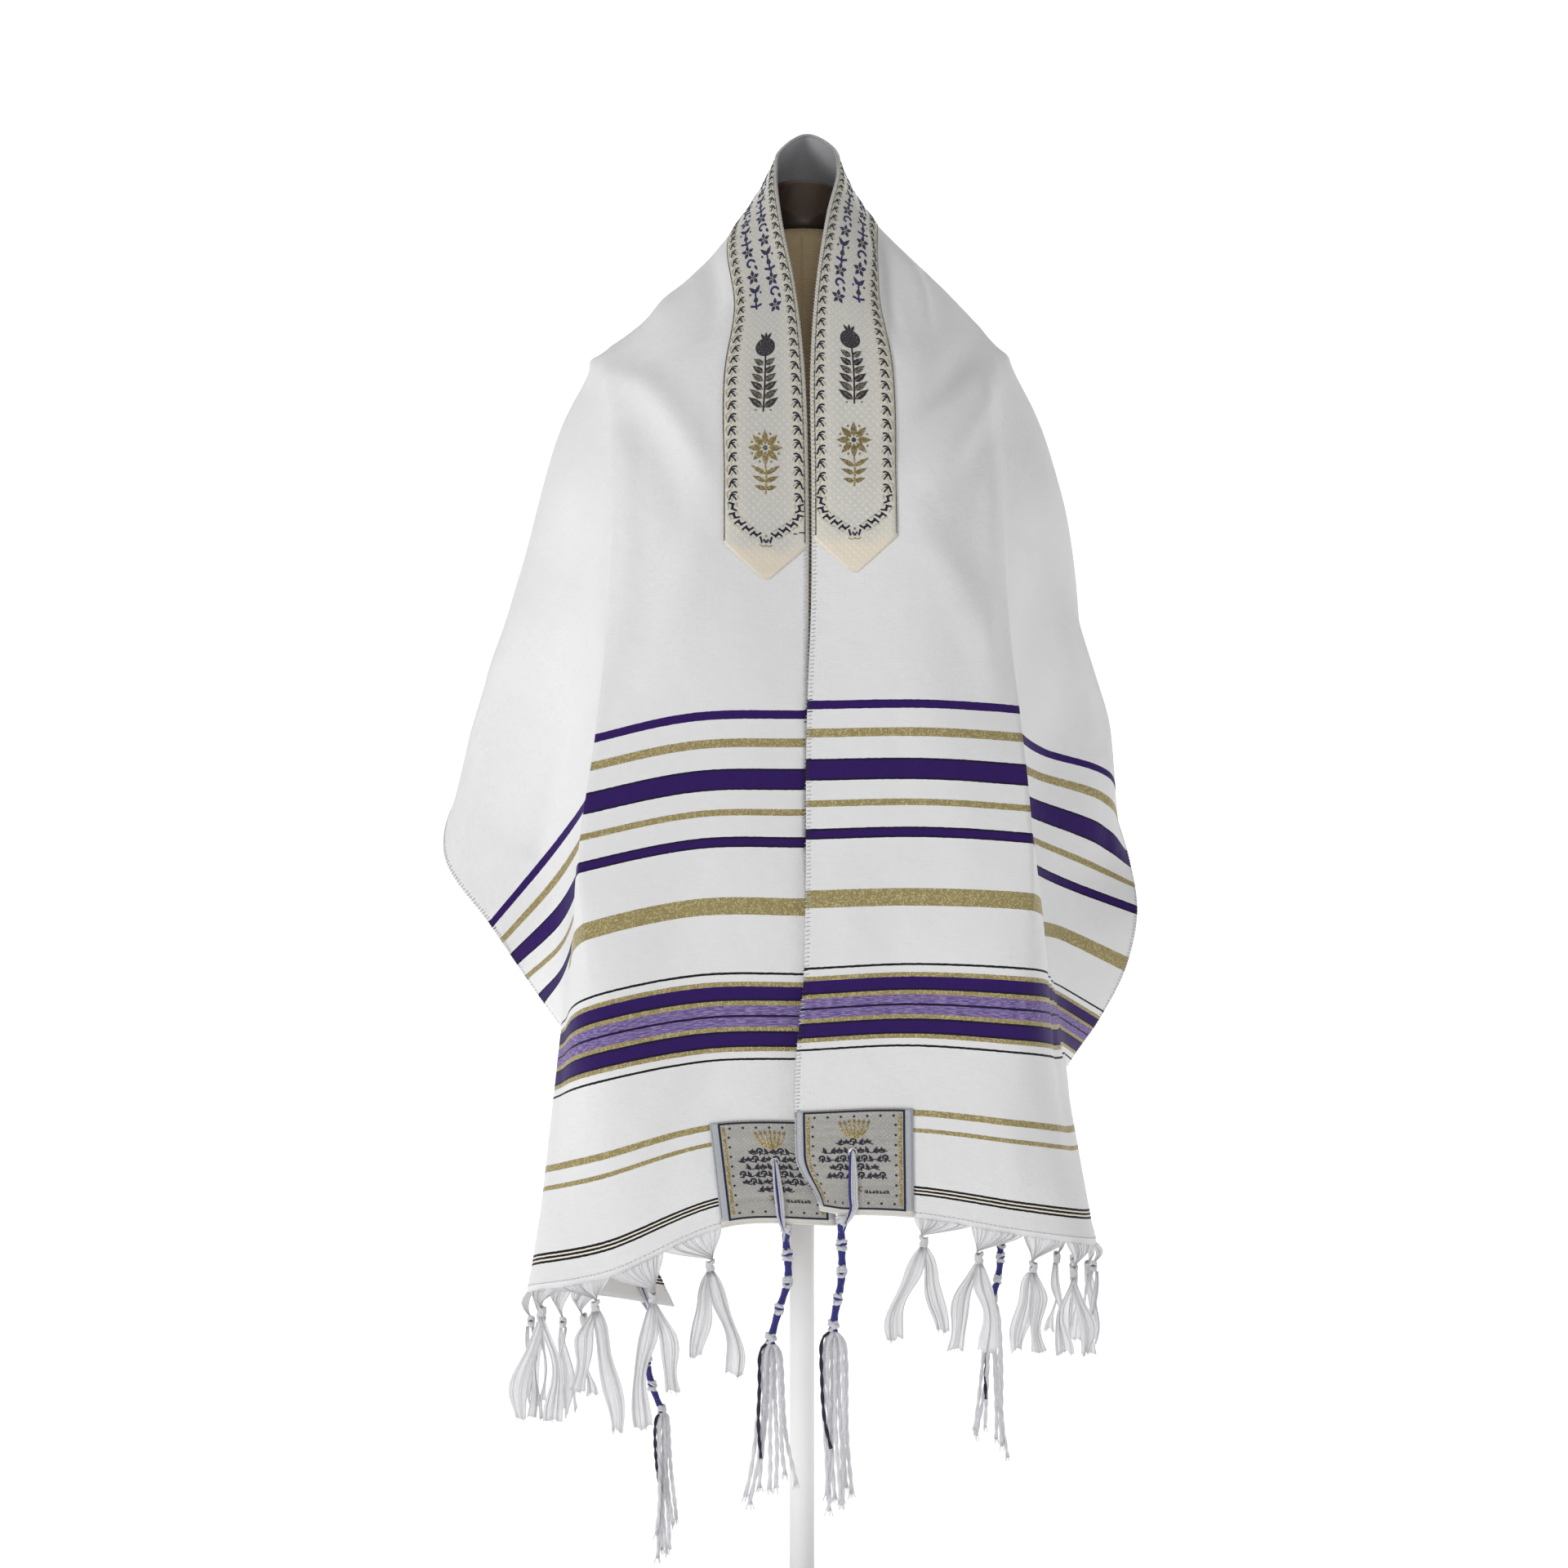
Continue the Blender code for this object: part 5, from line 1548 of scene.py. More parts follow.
    def _branch(self, needle: Needle, place: Place) -> None:
        """Adds an upright branch of dark paired leaves under a round fruit with a gold crown.

        Args:
            needle: what lays the thread.
            place: its middle.
        """
        stem = [(0.6 * sin(t * 2.4), -20 + t * 29) for t in np.linspace(0, 1, 9)]
        needle.line(place, stem, 0.8, BandThread.NAVY)
        for k in range(6):
            y = -18 + 4.3 * k
            size = 8.6 - 0.45 * k
            for sign in (-1, 1):
                angle = pi / 2 - sign * 0.95
                tone = BandThread.CHARCOAL if k % 2 else BandThread.NAVY
                needle.leaf(place, sign * 0.4, y, angle, size, 3.2, tone)
                vein = [(sign * 0.8, y + 0.4), (sign * 4.6, y + 3.0)]
                needle.line(place, vein, 0.5, BandThread.GOLD, crown=0.9)
                needle.dot(place, sign * 3.6, y - 1.2, 0.5, BandThread.GOLD)
        turns = np.arange(18) * 2 * pi / 18
        for radius, slot in ((5.3, BandThread.NAVY), (4.7, BandThread.CHARCOAL)):
            fruit = [(radius * cos(a), 13.6 + radius * sin(a)) for a in turns]
            needle.blot(place, fruit, slot)
        for ring in (1.5, 2.7, 3.8):
            for a in turns[::2] + ring:
                x, y = ring * cos(a), 13.6 + ring * sin(a)
                needle.dot(place, x, y, 0.42, BandThread.GOLD)
        for lean in (-0.55, 0.0, 0.55):
            needle.leaf(place, 1.6 * lean, 18.2, pi / 2 - lean, 4.2, 1.6, BandThread.NAVY)

    def _rosette(self, needle: Needle, place: Place) -> None:
        """Adds a gold rosette of eight petals over a fan of leaves.

        Args:
            needle: what lays the thread.
            place: its middle.
        """
        for k in range(8):
            angle = k * pi / 4
            x, y = cos(angle), sin(angle)
            needle.leaf(place, 1.4 * x, 7 + 1.4 * y, angle, 6.2, 2.6, BandThread.GOLD)
            spot = angle + pi / 8
            needle.dot(place, 6.2 * cos(spot), 7 + 6.2 * sin(spot), 0.55, BandThread.GOLD)
        needle.dot(place, 0, 7, 1.1, BandThread.CHARCOAL)
        needle.line(place, [(0, -0.4), (0.3, -5), (0, -12.5)], 0.8, BandThread.GOLD)
        for k in range(3):
            y = -4.0 - 3.2 * k
            for sign in (-1, 1):
                angle = pi / 2 - sign * (1.05 + 0.12 * k)
                needle.leaf(place, 0, y, angle, 7.4 - 1.2 * k, 2.0, BandThread.GOLD)

    def _sprig(self, needle: Needle, place: Place, number: int) -> None:
        """Adds one royal blue ornament: a flower, a pair of leaves, a curl or a bud, in turn.

        Args:
            needle: what lays the thread.
            place: its middle.
            number: its number, which sets its turn.
        """
        kind = (number * 7 + number // 5) % 4
        if kind == 0:
            for k in range(5):
                angle = k * pi * 0.4 + 0.3
                x, y = 0.7 * cos(angle), 0.7 * sin(angle)
                needle.leaf(place, x, y, angle, 3.6, 2.1, BandThread.ROYAL)
            needle.dot(place, 0, 0, 0.8, BandThread.GOLD)
        elif kind == 1:
            for sign in (-1, 1):
                needle.leaf(place, 0, -1.5, pi / 2 - sign * 0.7, 5.6, 2.2, BandThread.ROYAL)
                needle.dot(place, sign * 3.4, -1.8, 0.7, BandThread.ROYAL)
            needle.line(place, [(0, -3.6), (0, -1.6), (0, 0.6)], 1.0, BandThread.ROYAL)
        elif kind == 2:
            turns = np.linspace(0.2, 4.6, 10)
            curl = [((3.4 - 0.5 * t) * cos(t), (3.4 - 0.5 * t) * sin(t)) for t in turns]
            needle.line(place, curl, 1.3, BandThread.ROYAL)
            needle.leaf(place, 2.6, -1.0, -1.2, 3.4, 1.7, BandThread.ROYAL)
        else:
            needle.leaf(place, 0, 0, pi / 2, 4.4, 2.8, BandThread.ROYAL)
            needle.line(place, [(-3.4, -1.2), (0, -2.2), (3.4, -1.2)], 1.3, BandThread.ROYAL)
            needle.line(place, [(0, 0), (0, -2.4), (0.6, -3.8)], 1.1, BandThread.ROYAL)


@dataclass(frozen=True)
class Corner:
    """One corner: where its cords pass through, and where its tassel hangs, in millimetres.

    Its knots are places down the tassel, its wraps are each blue winding's top and bottom, and its
    ends are where the strands end, all about the datum.
    """

    name: str
    side: Side
    v: float
    knots: tuple
    wraps: tuple
    ends: tuple
    spread: float

    @property
    def front(self) -> bool:
        """Returns: whether it lies at the neck edge."""
        return self.v < CLOTH_WIDTH / 2


CORNERS = (
    Corner("front_left", Side.LEFT, 0.0425,
           ((-13, -153, -341), (-12, -154, -372), (-18, -154, -391), (-25, -154, -416)),
           ((-336, -346.6), (-356.3, -366.6), (-376, -388), (-395, -410.5)),
           ((-49, -158, -537), (-38, -150, -532), (-22, -157, -522), (-6, -151, -519)), 8.6),
    Corner("front_right", Side.RIGHT, 0.0425,
           ((28, -161, -333), (28, -161, -369), (23, -161, -396), (22, -161, -406)),
           ((-328, -338), (-347, -357.4), (-367, -378), (-387.5, -399.5)),
           ((14, -165, -528), (21, -157, -537), (29, -164, -533), (35, -158, -524)), 9.6),
    Corner("back_left", Side.LEFT, 0.4775,
           ((-123, 52, -443), (-128, 51, -474), (-120, 51, -509), (-115, 51, -520)),
           ((-443, -451), (-460, -471), (-482, -494), (-503, -515.7)),
           ((-124, 46, -612), (-117, 54, -641), (-110, 47, -634), (-105, 55, -606)), 7.6),
    Corner("back_right", Side.RIGHT, 0.4775,
           ((167, 73, -386), (166, 73, -406), (162, 73, -424), (160, 73, -432)),
           ((-388, -393), (-400, -411), (-419, -428)),
           ((143, 69, -547), (147, 77, -541), (168, 70, -550), (173, 76, -560)), 9.5),
)


@dataclass(frozen=True)
class CornerPatch:
    """A silver satin square over one corner, taped at its sides and framed in navy and gold."""

    corner: Corner
    wall: float = 0.0006
    seat: float = 0.0005
    over_hem: float = 0.0006
    tape: float = 0.0064
    hem: float = 0.0054
    frame_half: float = 37.2
    frame_low: float = -40.0
    frame_top: float = 40.4

    def build(self, drape: Drape, palette: Palette) -> list[Piece]:
        """Builds the patch.

        Args:
            drape: the hung cloth.
            palette: the finishes.
        Returns:
            The patch and its embroidery.
        """
        sign = self.corner.side.value
        lines = drape.v[(drape.v > 0.002) & (drape.v < PATCH_SIDE)]
        extra = [0.0012, self.hem, self.tape, PATCH_SIDE - self.tape, PATCH_SIDE]
        u = np.unique(np.concatenate([lines, extra]).round(5))
        v = u if self.corner.front else CLOTH_WIDTH - u[::-1]
        s = sign * (HALF_LENGTH - u)
        s = s if sign < 0 else s[::-1]
        low = CLOTH_HALF_WALL + self.seat + self.over_hem * on_hem(s)
        points = drape.at(s[:, None], v[None, :], low[:, None])
        upper = drape.at(s[:, None], v[None, :], low[:, None] + self.wall)
        coords = np.stack(np.meshgrid(s, v, indexing="ij"), axis=-1)
        i = int(np.argmin(np.abs((s[1:] + s[:-1]) / 2 - sign * (HALF_LENGTH - EYELET_U))))
        j = int(np.argmin(np.abs((v[1:] + v[:-1]) / 2 - self.corner.v)))
        from_end = HALF_LENGTH - np.abs((s[1:] + s[:-1]) / 2)[:, None]
        from_edge = (v[1:] + v[:-1])[None, :] / 2
        from_edge = from_edge if self.corner.front else CLOTH_WIDTH - from_edge
        taped = (from_edge < self.tape) | (from_edge > PATCH_SIDE - self.tape)
        slots = np.where(from_end < self.hem, 2, np.where(taped, 1, 0))
        bag = Bag()
        last = len(v) - 2
        top = bag.grid(upper, coords, slots, skip={(i, j)})
        base = bag.grid(points[:, ::-1], coords[:, ::-1], skip={(i, last - j)})[:, ::-1]
        close_rim(bag, top, base, [(i, j)])
        name = f"patch_{self.corner.name}"
        patch = bag.build(f"{name}_satin", [palette.satin, palette.selvedge, palette.tape])
        publish(patch, Slot.PATCH, name)
        return [patch, self._embroidery(drape, palette, name)]

    def _embroidery(self, drape: Drape, palette: Palette, name: str) -> Piece:
        """Embroiders the patch.

        Args:
            drape: the hung cloth.
            palette: the finishes.
            name: the patch's name.
        Returns:
            Its seams, frame, dots, lamp, rows and eyelet.
        """
        bag = Bag()
        needle = Needle(drape, bag, CLOTH_HALF_WALL + self.seat + self.wall + 0.0002, self.over_hem)
        middle = 0.044 if self.corner.front else CLOTH_WIDTH - 0.044
        place = Place(self.corner.side, 0.0456, middle)
        half, low, top = self.frame_half, self.frame_low, self.frame_top
        for sign in (-1, 1):
            seam = [(sign * 43.2, y) for y in np.linspace(-38, 41, 24)]
            needle.line(place, seam, 0.7, PatchThread.GREY)
            gold = [(sign * 34.2, y) for y in np.linspace(low + 3.4, top - 3.0, 24)]
            needle.line(place, gold, 2.1, PatchThread.GOLD, crown=0.15)
            side = [(sign * half, y) for y in np.linspace(low - 0.8, top + 0.8, 26)]
            needle.line(place, side, 1.6, PatchThread.NAVY, crown=0.2)
        for y in (low, top):
            bar = [(x, y) for x in np.linspace(-half, half, 24)]
            needle.line(place, bar, 1.6, PatchThread.NAVY, crown=0.2)
        for x in np.arange(-29.4, 30, 9.8):
            for y in (low + 4.4, top - 4.2):
                needle.dot(place, x, y, 1.05, PatchThread.NAVY)
        for y in np.arange(-28.7, 30, 8.2):
            for x in (-30.9, 30.9):
                needle.dot(place, x, y, 1.05, PatchThread.NAVY)
        self._lamp(needle, place)
        left = self.corner.side is Side.LEFT
        rows = ((15.5, 17), (9.0, 26), (2.6, 21), (-3.8, 26), (-10.2, 24), (-16.6, 14)) if left else (
            (15.0, 14), (8.0, 24.5), (1.0, 27), (-6.0, 19), (-13.0, 24))
        for number, (y, reach) in enumerate(rows):
            self._row(needle, place, y, -reach, reach, number + 3 * left, 1.5)
        self._row(needle, place, -26.5, 7.0, 26.0, 2, 0.75)
        for sign in (-1, 1):
            for lean in (0.5, 1.2, 1.9):
                needle.leaf(place, 0, -24, -pi / 2 + sign * lean, 6.4, 1.9, PatchThread.GOLD)
        self._eyelet(drape, bag)
        palette_slots = [palette.navy, palette.gold, palette.selvedge, palette.white]
        return publish(bag.build(f"{name}_embroidery", palette_slots), Slot.PATCH)

    def _lamp(self, needle: Needle, place: Place) -> None:
        """Adds a plain gold lamp of seven branches, a flame on each, at the top of the patch.

        Args:
            needle: what lays the thread.
            place: the patch's middle.
        """
        turns = np.linspace(0, pi / 2, 9)
        for k in range(-3, 4):
            reach = 3.35 * k
            rise = 31.5 - 0.4 * abs(k)
            foot = 19.6 - 0.2 * abs(k)
            branch = [(reach * sin(a), foot + (rise - foot) * (1 - cos(a))) for a in turns]
            needle.line(place, branch if k else [(0, foot), (0, 25), (0, rise)], 1.6, PatchThread.GOLD)
            needle.leaf(place, reach, rise - 0.8, pi / 2 - 0.12 * k, 3.6, 2.3, PatchThread.GOLD)
        needle.line(place, [(0, 20), (0, 18.4), (0, 17.2)], 1.5, PatchThread.GOLD)

    def _row(self, needle: Needle, place: Place, y: float, start: float, end: float, seed: int,
             size: float = 1.0) -> None:
        """Adds one running row of small navy leaves, trefoils, curls and buds along a fine stem.

        Args:
            needle: what lays the thread.
            place: the patch's middle.
            y: the row's height, in millimetres as start and end are.
            start: where it begins.
            end: where it ends.
            seed: which order the ornaments take.
            size: their scale.
        """
        pitch = 3.5 * size
        x = np.linspace(start, end, max(5, round((end - start) / 1.5)))
        stem = [(a, y + size * (0.5 * sin(a * 0.8 + seed) - 0.9)) for a in x]
        needle.line(place, stem, 0.55 * size, PatchThread.NAVY)
        for k in range(int((end - start) / pitch)):
            a = start + (k + 0.5) * pitch
            kind = (k * 5 + seed * 3 + k // 3) % 4
            if kind == 0:
                needle.leaf(place, a - 0.6, y - 1.7 * size, 1.1, 4.3 * size, 1.7 * size, PatchThread.NAVY)
                needle.dot(place, a + 1.1 * size, y - 1.3 * size, 0.6 * size, PatchThread.NAVY)
            elif kind == 1:
                for angle in (0.5, 1.57, 2.64):
                    needle.leaf(place, a, y - 0.6 * size, angle, 2.5 * size, 1.5 * size, PatchThread.NAVY)
            elif kind == 2:
                turns = np.linspace(-0.6, 3.6, 8)
                curl = [(a + size * 1.3 * cos(t), y + size * (0.5 + 1.3 * sin(t))) for t in turns]
                needle.line(place, curl, 0.95 * size, PatchThread.NAVY)
                spine = [(a, y - 1.9 * size), (a + 0.5, y - 0.6 * size), (a, y + 0.6 * size)]
                needle.line(place, spine, 0.9 * size, PatchThread.NAVY)
            else:
                needle.leaf(place, a + 0.8, y - 1.8 * size, 1.95, 4.4 * size, 1.8 * size, PatchThread.NAVY)

    def _eyelet(self, drape: Drape, bag: Bag) -> None:
        """Adds the thread ring round the hole.

        Args:
            drape: the hung cloth.
            bag: what takes the mesh.
        """
        sign = self.corner.side.value
        turns = np.linspace(0, 2 * pi, 19)
        for lift in (0.0018, -0.0006):
            s = sign * (HALF_LENGTH - EYELET_U) + 0.0030 * np.cos(turns)
            v = self.corner.v + 0.0030 * np.sin(turns)
            bag.tube(drape.at(s, v, lift), 0.0006, 5, PatchThread.WHITE)


@dataclass(frozen=True)
class Tuft:
    """One knotted tuft, in millimetres: its knot lies sway along the hem and drop below it, and
    each tail ends lean along the hem and length below the knot."""

    sway: float
    drop: float
    lean_a: float
    length_a: float
    lean_b: float
    length_b: float


TUFTS = {
    Side.LEFT: (
        Tuft(-13, 20, -18, 78, 9, 63),
        Tuft(-12, 25, -16, 66, 9, 92),
        Tuft(-7, 18, -15, 88, 13, 60),
        Tuft(3, 17, -13, 76, 20, 79),
        Tuft(5, 24, 2, 68, 14, 60),
        Tuft(-3, 20, -8, 72, 8, 64),
        Tuft(4, 26, -8, 62, 7, 70),
        Tuft(-2, 21, -9, 66, 8, 58),
    ),
    Side.RIGHT: (
        Tuft(-14, 15, -21, 69, 12, 62),
        Tuft(-14, 20, -19, 64, 8, 66),
        Tuft(-9, 21, -12, 56, 5, 60),
        Tuft(-6, 21, -14, 55, 14, 60),
        Tuft(4, 19, 0, 62, 12, 56),
        Tuft(-2, 22, -9, 60, 8, 63),
        Tuft(2, 20, -8, 58, 9, 64),
        Tuft(-3, 21, -8, 63, 8, 57),
    ),
}


@dataclass(frozen=True)
class Fringe:
    """Unspun white yarn below one end, drawn into knots with two flat tails each."""

    side: Side
    fan_threads: int = 16
    tail_threads: int = 8
    thread_radius: float = 0.00022
    tail_half_width: float = 0.0068
    sheet_wall: float = 0.0003

    def build(self, drape: Drape, palette: Palette) -> list[Piece]:
        """Builds the fringe.

        Args:
            drape: the hung cloth.
            palette: the finishes.
        Returns:
            The fringe.
        """
        bag = Bag()
        rng = np.random.default_rng(7 + self.side.value)
        rows = TUFTS[self.side]
        edges = np.linspace(PATCH_SIDE, CLOTH_WIDTH - PATCH_SIDE, len(rows) + 1)
        for number, (tuft, start, end) in enumerate(zip(rows, edges, edges[1:])):
            self._tuft(drape, bag, rng, tuft, start, end, number)
        name = "fringe_left" if self.side is Side.LEFT else "fringe_right"
        obj = bag.build(f"{name}_yarn", [palette.sheer, palette.white])
        return [publish(obj, Slot.YARN, name)]

    def _tuft(self, drape: Drape, bag: Bag, rng: np.random.Generator, tuft: Tuft, start: float,
              end: float, number: int) -> None:
        """Adds a fan of yarn from this stretch of the hem, the knot that gathers it and its two tails.

        Args:
            drape: the hung cloth.
            bag: what takes the mesh.
            rng: the random draws.
            tuft: its sizes.
            start: where its stretch starts.
            end: where it ends.
            number: which tuft it is.
        """
        sign = self.side.value
        v = np.linspace(start, end, 17)
        hem = drape.at(np.full(17, sign * (HALF_LENGTH - 0.0012)), v)
        along = hem[-1] - hem[0]
        along[2] = 0
        along /= np.linalg.norm(along)
        out = drape.normal(sign * HALF_LENGTH, (start + end) / 2) * (1, 1, 0)
        out = unit(out - along * (out @ along))
        knot = hem[[0, 8, 16]].mean(axis=0) + along * tuft.sway / 1000 - (0, 0, tuft.drop / 1000)
        self._fan(bag, rng, hem, knot, along, out, number)
        self._knot(bag, knot, along, out, number)
        for which, lean, length in ((0, tuft.lean_a, tuft.length_a), (1, tuft.lean_b, tuft.length_b)):
            self._tail(bag, rng, knot, along, out, lean / 1000, length / 1000, number + which * 0.5)

    def _fan(self, bag: Bag, rng: np.random.Generator, hem: Array, knot: Array, along: Array,
             out: Array, number: int) -> None:
        """Adds the sheet of yarn that the hem's threads make on their way to the knot.

        Args:
            bag: what takes the mesh.
            rng: the random draws.
            hem: points along the hem.
            knot: the knot's middle.
            along: the hem's direction.
            out: the direction away from the cloth.
            number: which tuft it is.
        """
        part = np.linspace(-1, 1, 17)[:, None]
        puff = 0.0050 + 0.0012 * sin(number * 2.1)
        rows = []
        steps = np.linspace(0, 1, 10)
        for t in steps:
            gather = t**1.9 * (3 - 2 * t**1.9) if t < 1 else 1.0
            line = hem + (knot + (0, 0, 0.002) - hem) * np.array([gather, gather, t])
            line = line + along * part * (0.0026 * gather)
            crimp = 0.0007 * np.sin(part * 13 + number) * sin(pi * t) ** 0.5
            rows.append(line + out * (puff * sin(pi * t) * (1 - 0.5 * part**2) + crimp))
        self._sheet(bag, np.array(rows), out)
        for k in range(self.fan_threads):
            path = self._thread(rows, rng.uniform(0, 16))
            bag.tube(path + out * rng.choice((-0.0002, 0.0004)), self.thread_radius, 3, 1)

    @staticmethod
    def _thread(rows: Array | list[Array], place: float) -> Array:
        """Returns: the path down rows of points, place points from their first."""
        i = min(int(place), len(rows[0]) - 2)
        return np.array([row[i] + (row[i + 1] - row[i]) * (place - i) for row in rows])

    def _sheet(self, bag: Bag, rows: Array, out: Array) -> None:
        """Adds a thin closed sheet over rows of points, with its first face toward out.

        Args:
            bag: what takes the mesh.
            rows: the rows.
            out: the direction away from the cloth.
        """
        across = np.linspace(0, 1, rows.shape[1])
        coords = np.stack(np.meshgrid(lengths(rows[:, 0]), across, indexing="ij"), axis=-1)[..., ::-1]
        facing = np.cross(rows[-1, 0] - rows[0, 0], rows[0, -1] - rows[0, 0]) @ out
        if facing < 0:
            rows, coords = rows[:, ::-1], coords[:, ::-1]
        half = out * self.sheet_wall / 2
        top = bag.grid(rows + half, coords)
        base = bag.grid((rows - half)[:, ::-1], coords[:, ::-1])[:, ::-1]
        close_rim(bag, top, base)

    def _tail(self, bag: Bag, rng: np.random.Generator, knot: Array, along: Array, out: Array,
              lean: float, length: float, seed: float) -> None:
        """Adds one flat tail, with soft kinks and a ragged end.

        Args:
            bag: what takes the mesh.
            rng: the random draws.
            knot: the knot's middle.
            along: the hem's direction.
            out: the direction away from the cloth.
            lean: how far its end lies along the hem.
            length: its length.
            seed: what sets its kinks.
        """
        steps = np.linspace(0, 1, 15)
        part = np.linspace(-1, 1, 9)
        ragged = 0.0012 * np.sin(part * 3.1 + seed * 7) + rng.normal(0, 0.0006, 9)
        root = knot - (0, 0, 0.0045)
        rows = []
        for t in steps:
            bow = sin(t * pi / 2) ** 0.9
            kink = 0.0022 * sin(t * 6.3 + seed * 2.7) * min(1.0, 3 * t)
            half = self.tail_half_width * (0.42 + 0.58 * min(1.0, t * 3.2) ** 0.7)
            half *= 1 + 0.20 * sin(t * 8.7 + seed * 4.1) - 0.12 * t
            twist = 0.45 * sin(t * 4.3 + seed * 3.3)
            middle = root + along * (lean * bow + kink) - (0, 0, length * t)
            middle = middle + out * 0.0025 * sin(t * 5 + seed * 5)
            edge = part[:, None] * half * (along * cos(twist) + out * sin(twist))
            fold = out * (0.0008 * np.cos(part * 5 + seed))[:, None]
            drop = np.outer(ragged * t**3, (0, 0, 1))
            rows.append(middle + edge + fold + drop)
        rows = np.array(rows)
        self._sheet(bag, rows, out)
        for k in range(self.tail_threads):
            path = self._thread(rows, rng.uniform(0, 8))
            stray = rng.normal(0, 0.0006) * steps[:, None] ** 2
            path = path + along * stray + out * rng.choice((-0.0003, 0.0003))
            path[-1] -= (0, 0, abs(rng.normal(0, 0.0012)))
            bag.tube(path, self.thread_radius, 3, 1)

    def _knot(self, bag: Bag, knot: Array, along: Array, out: Array, number: int) -> None:
        """Adds the yarn that crosses over itself in the knot.

        Args:
            bag: what takes the mesh.
            knot: the knot's middle.
            along: the hem's direction.
            out: the direction away from the cloth.
            number: which tuft it is.
        """
        lean = 1 if number % 2 else -1
        for tilt, rise, wide in ((0.9, 0.0008, 0.0028), (-0.9, -0.0008, 0.0027), (0.3, -0.0028, 0.0022)):
            angles = np.linspace(0, 2 * pi, 15)
            ring = circle(angles, along * wide, out * wide * 0.8)
            level = (rise + 0.0024 * tilt * lean * np.cos(angles))[:, None] * (0, 0, 1)
            for nudge in (-0.0009, 0.0, 0.0009):
                bag.tube(knot + ring + level + (0, 0, nudge), 0.0008, 5, 1)


@dataclass(frozen=True)
class Tassel:
    """Corner cords: a loop through the eyelet, blue windings between white knots, eight strands."""

    corner: Corner
    cord: float = 0.00095
    core: float = 0.0020
    turn_pitch: float = 0.0013
    strand: float = 0.0011
    strands: int = 8

    def build(self, drape: Drape, palette: Palette) -> list[Piece]:
        """Builds the tassel.

        Args:
            drape: the hung cloth.
            palette: the finishes.
        Returns:
            The tassel.
        """
        bag = Bag()
        knots = np.array(self.corner.knots, float) / 1000 + (0, 0, DATUM)
        ends = np.array(self.corner.ends, float) / 1000 + (0, 0, DATUM)
        normal = drape.normal(self.corner.side.value * (HALF_LENGTH - 0.01), self.corner.v) * (1, 1, 0)
        out = normal / np.linalg.norm(normal)
        side = np.cross(out, (0, 0, 1))
        side = side * np.sign(side[0])
        self._loop(drape, bag, knots[0], out, side)
        line = self._hang(knots, np.linspace(knots[0, 2], knots[-1, 2], 25))
        for k in range(4):
            angle = k * pi / 2 + 0.6
            offset = (cos(angle) * side + sin(angle) * out) * self.core * 0.55
            bag.tube(line + offset, self.core * 0.62, 6, int(k == 1))
        wraps = np.array(self.corner.wraps) / 1000 + DATUM
        for start, stop in wraps:
            self._winding(bag, knots, start, stop, side, out)
        tops = [wraps[0, 0] + 0.0035, *((wraps[1:, 0] + wraps[:-1, 1]) / 2), wraps[-1, 1] - 0.0030]
        for k, level in enumerate(tops):
            self._knot(bag, self._hang(knots, [level])[0], side, out, k)
        self._strands(bag, knots[-1], ends, side, out)
        name = f"tassel_{self.corner.name}"
        obj = bag.build(f"{name}_cords", [palette.cord, palette.blue, palette.navy])
        return [publish(obj, Slot.CORD, name)]

    @staticmethod
    def _hang(knots: Array, levels: Array | list) -> Array:
        """Returns: the points of the tassel's line at the given heights."""
        return curve(-knots[:, 2], knots, -np.asarray(levels, float))

    def _loop(self, drape: Drape, bag: Bag, knot: Array, out: Array, side: Array) -> None:
        """Adds the four cords that run up the patch, through the eyelet and down behind it.

        Args:
            drape: the cloth.
            bag: what holds the tassel.
            knot: the first knot's middle, where they end.
            out: the way out from the cloth, level.
            side: the way to the viewer's right, level.
        """
        sign = self.corner.side.value
        left = self.corner.side is Side.LEFT
        rise = (0.004, 0.014, 0.026, 0.038, 0.047, 0.0515)
        top_u = 0.0535
        us = np.array([*rise, top_u, *reversed(rise)])
        front, back = 0.0029, -0.0022
        lifts = np.array([front] * 5 + [front * 0.8, 0.0003, back * 0.8] + [back] * 5)
        slack = 0.0008 * np.sin(np.clip((top_u - us) / 0.055, 0, 1) * pi)
        splay = 0.0011 * np.abs(np.linspace(-1, 1, len(us))) ** 0.4
        for lane, blue in ((-1.5, False), (-0.5, False), (0.5, left), (1.5, not left)):
            shift = -sign * lane * (slack + splay) * (1 if self.corner.front else -1)
            path = drape.at(sign * (HALF_LENGTH - us), self.corner.v + shift, lifts)
            top = knot + side * lane * 0.0009
            path = np.concatenate([[top + out * 0.0012], path, [top - out * 0.0012]])
            bag.tube(smooth_path(path, 3), self.cord, 6, int(blue))

    def _winding(self, bag: Bag, knots: Array, start: float, stop: float, side: Array, out: Array) -> None:
        """Adds one blue winding round the cords, from height start down to stop.

        Args:
            bag: what takes the mesh.
            knots: the points that the cords hang through.
            start: its upper height.
            stop: its lower height.
            side: the direction across the tassel.
            out: the direction away from the cloth.
        """
        turns = max(3, round((start - stop) / self.turn_pitch))
        count = turns * 10 + 1
        middle = self._hang(knots, np.linspace(start, stop, count))
        angles = np.linspace(0, turns * 2 * pi, count)
        radius = self.core + 0.0002 + 0.0002 * np.cos(np.linspace(0, 2 * pi, count))[:, None]
        bag.tube(middle + circle(angles, side, out) * radius, 0.00078, 5, 1)

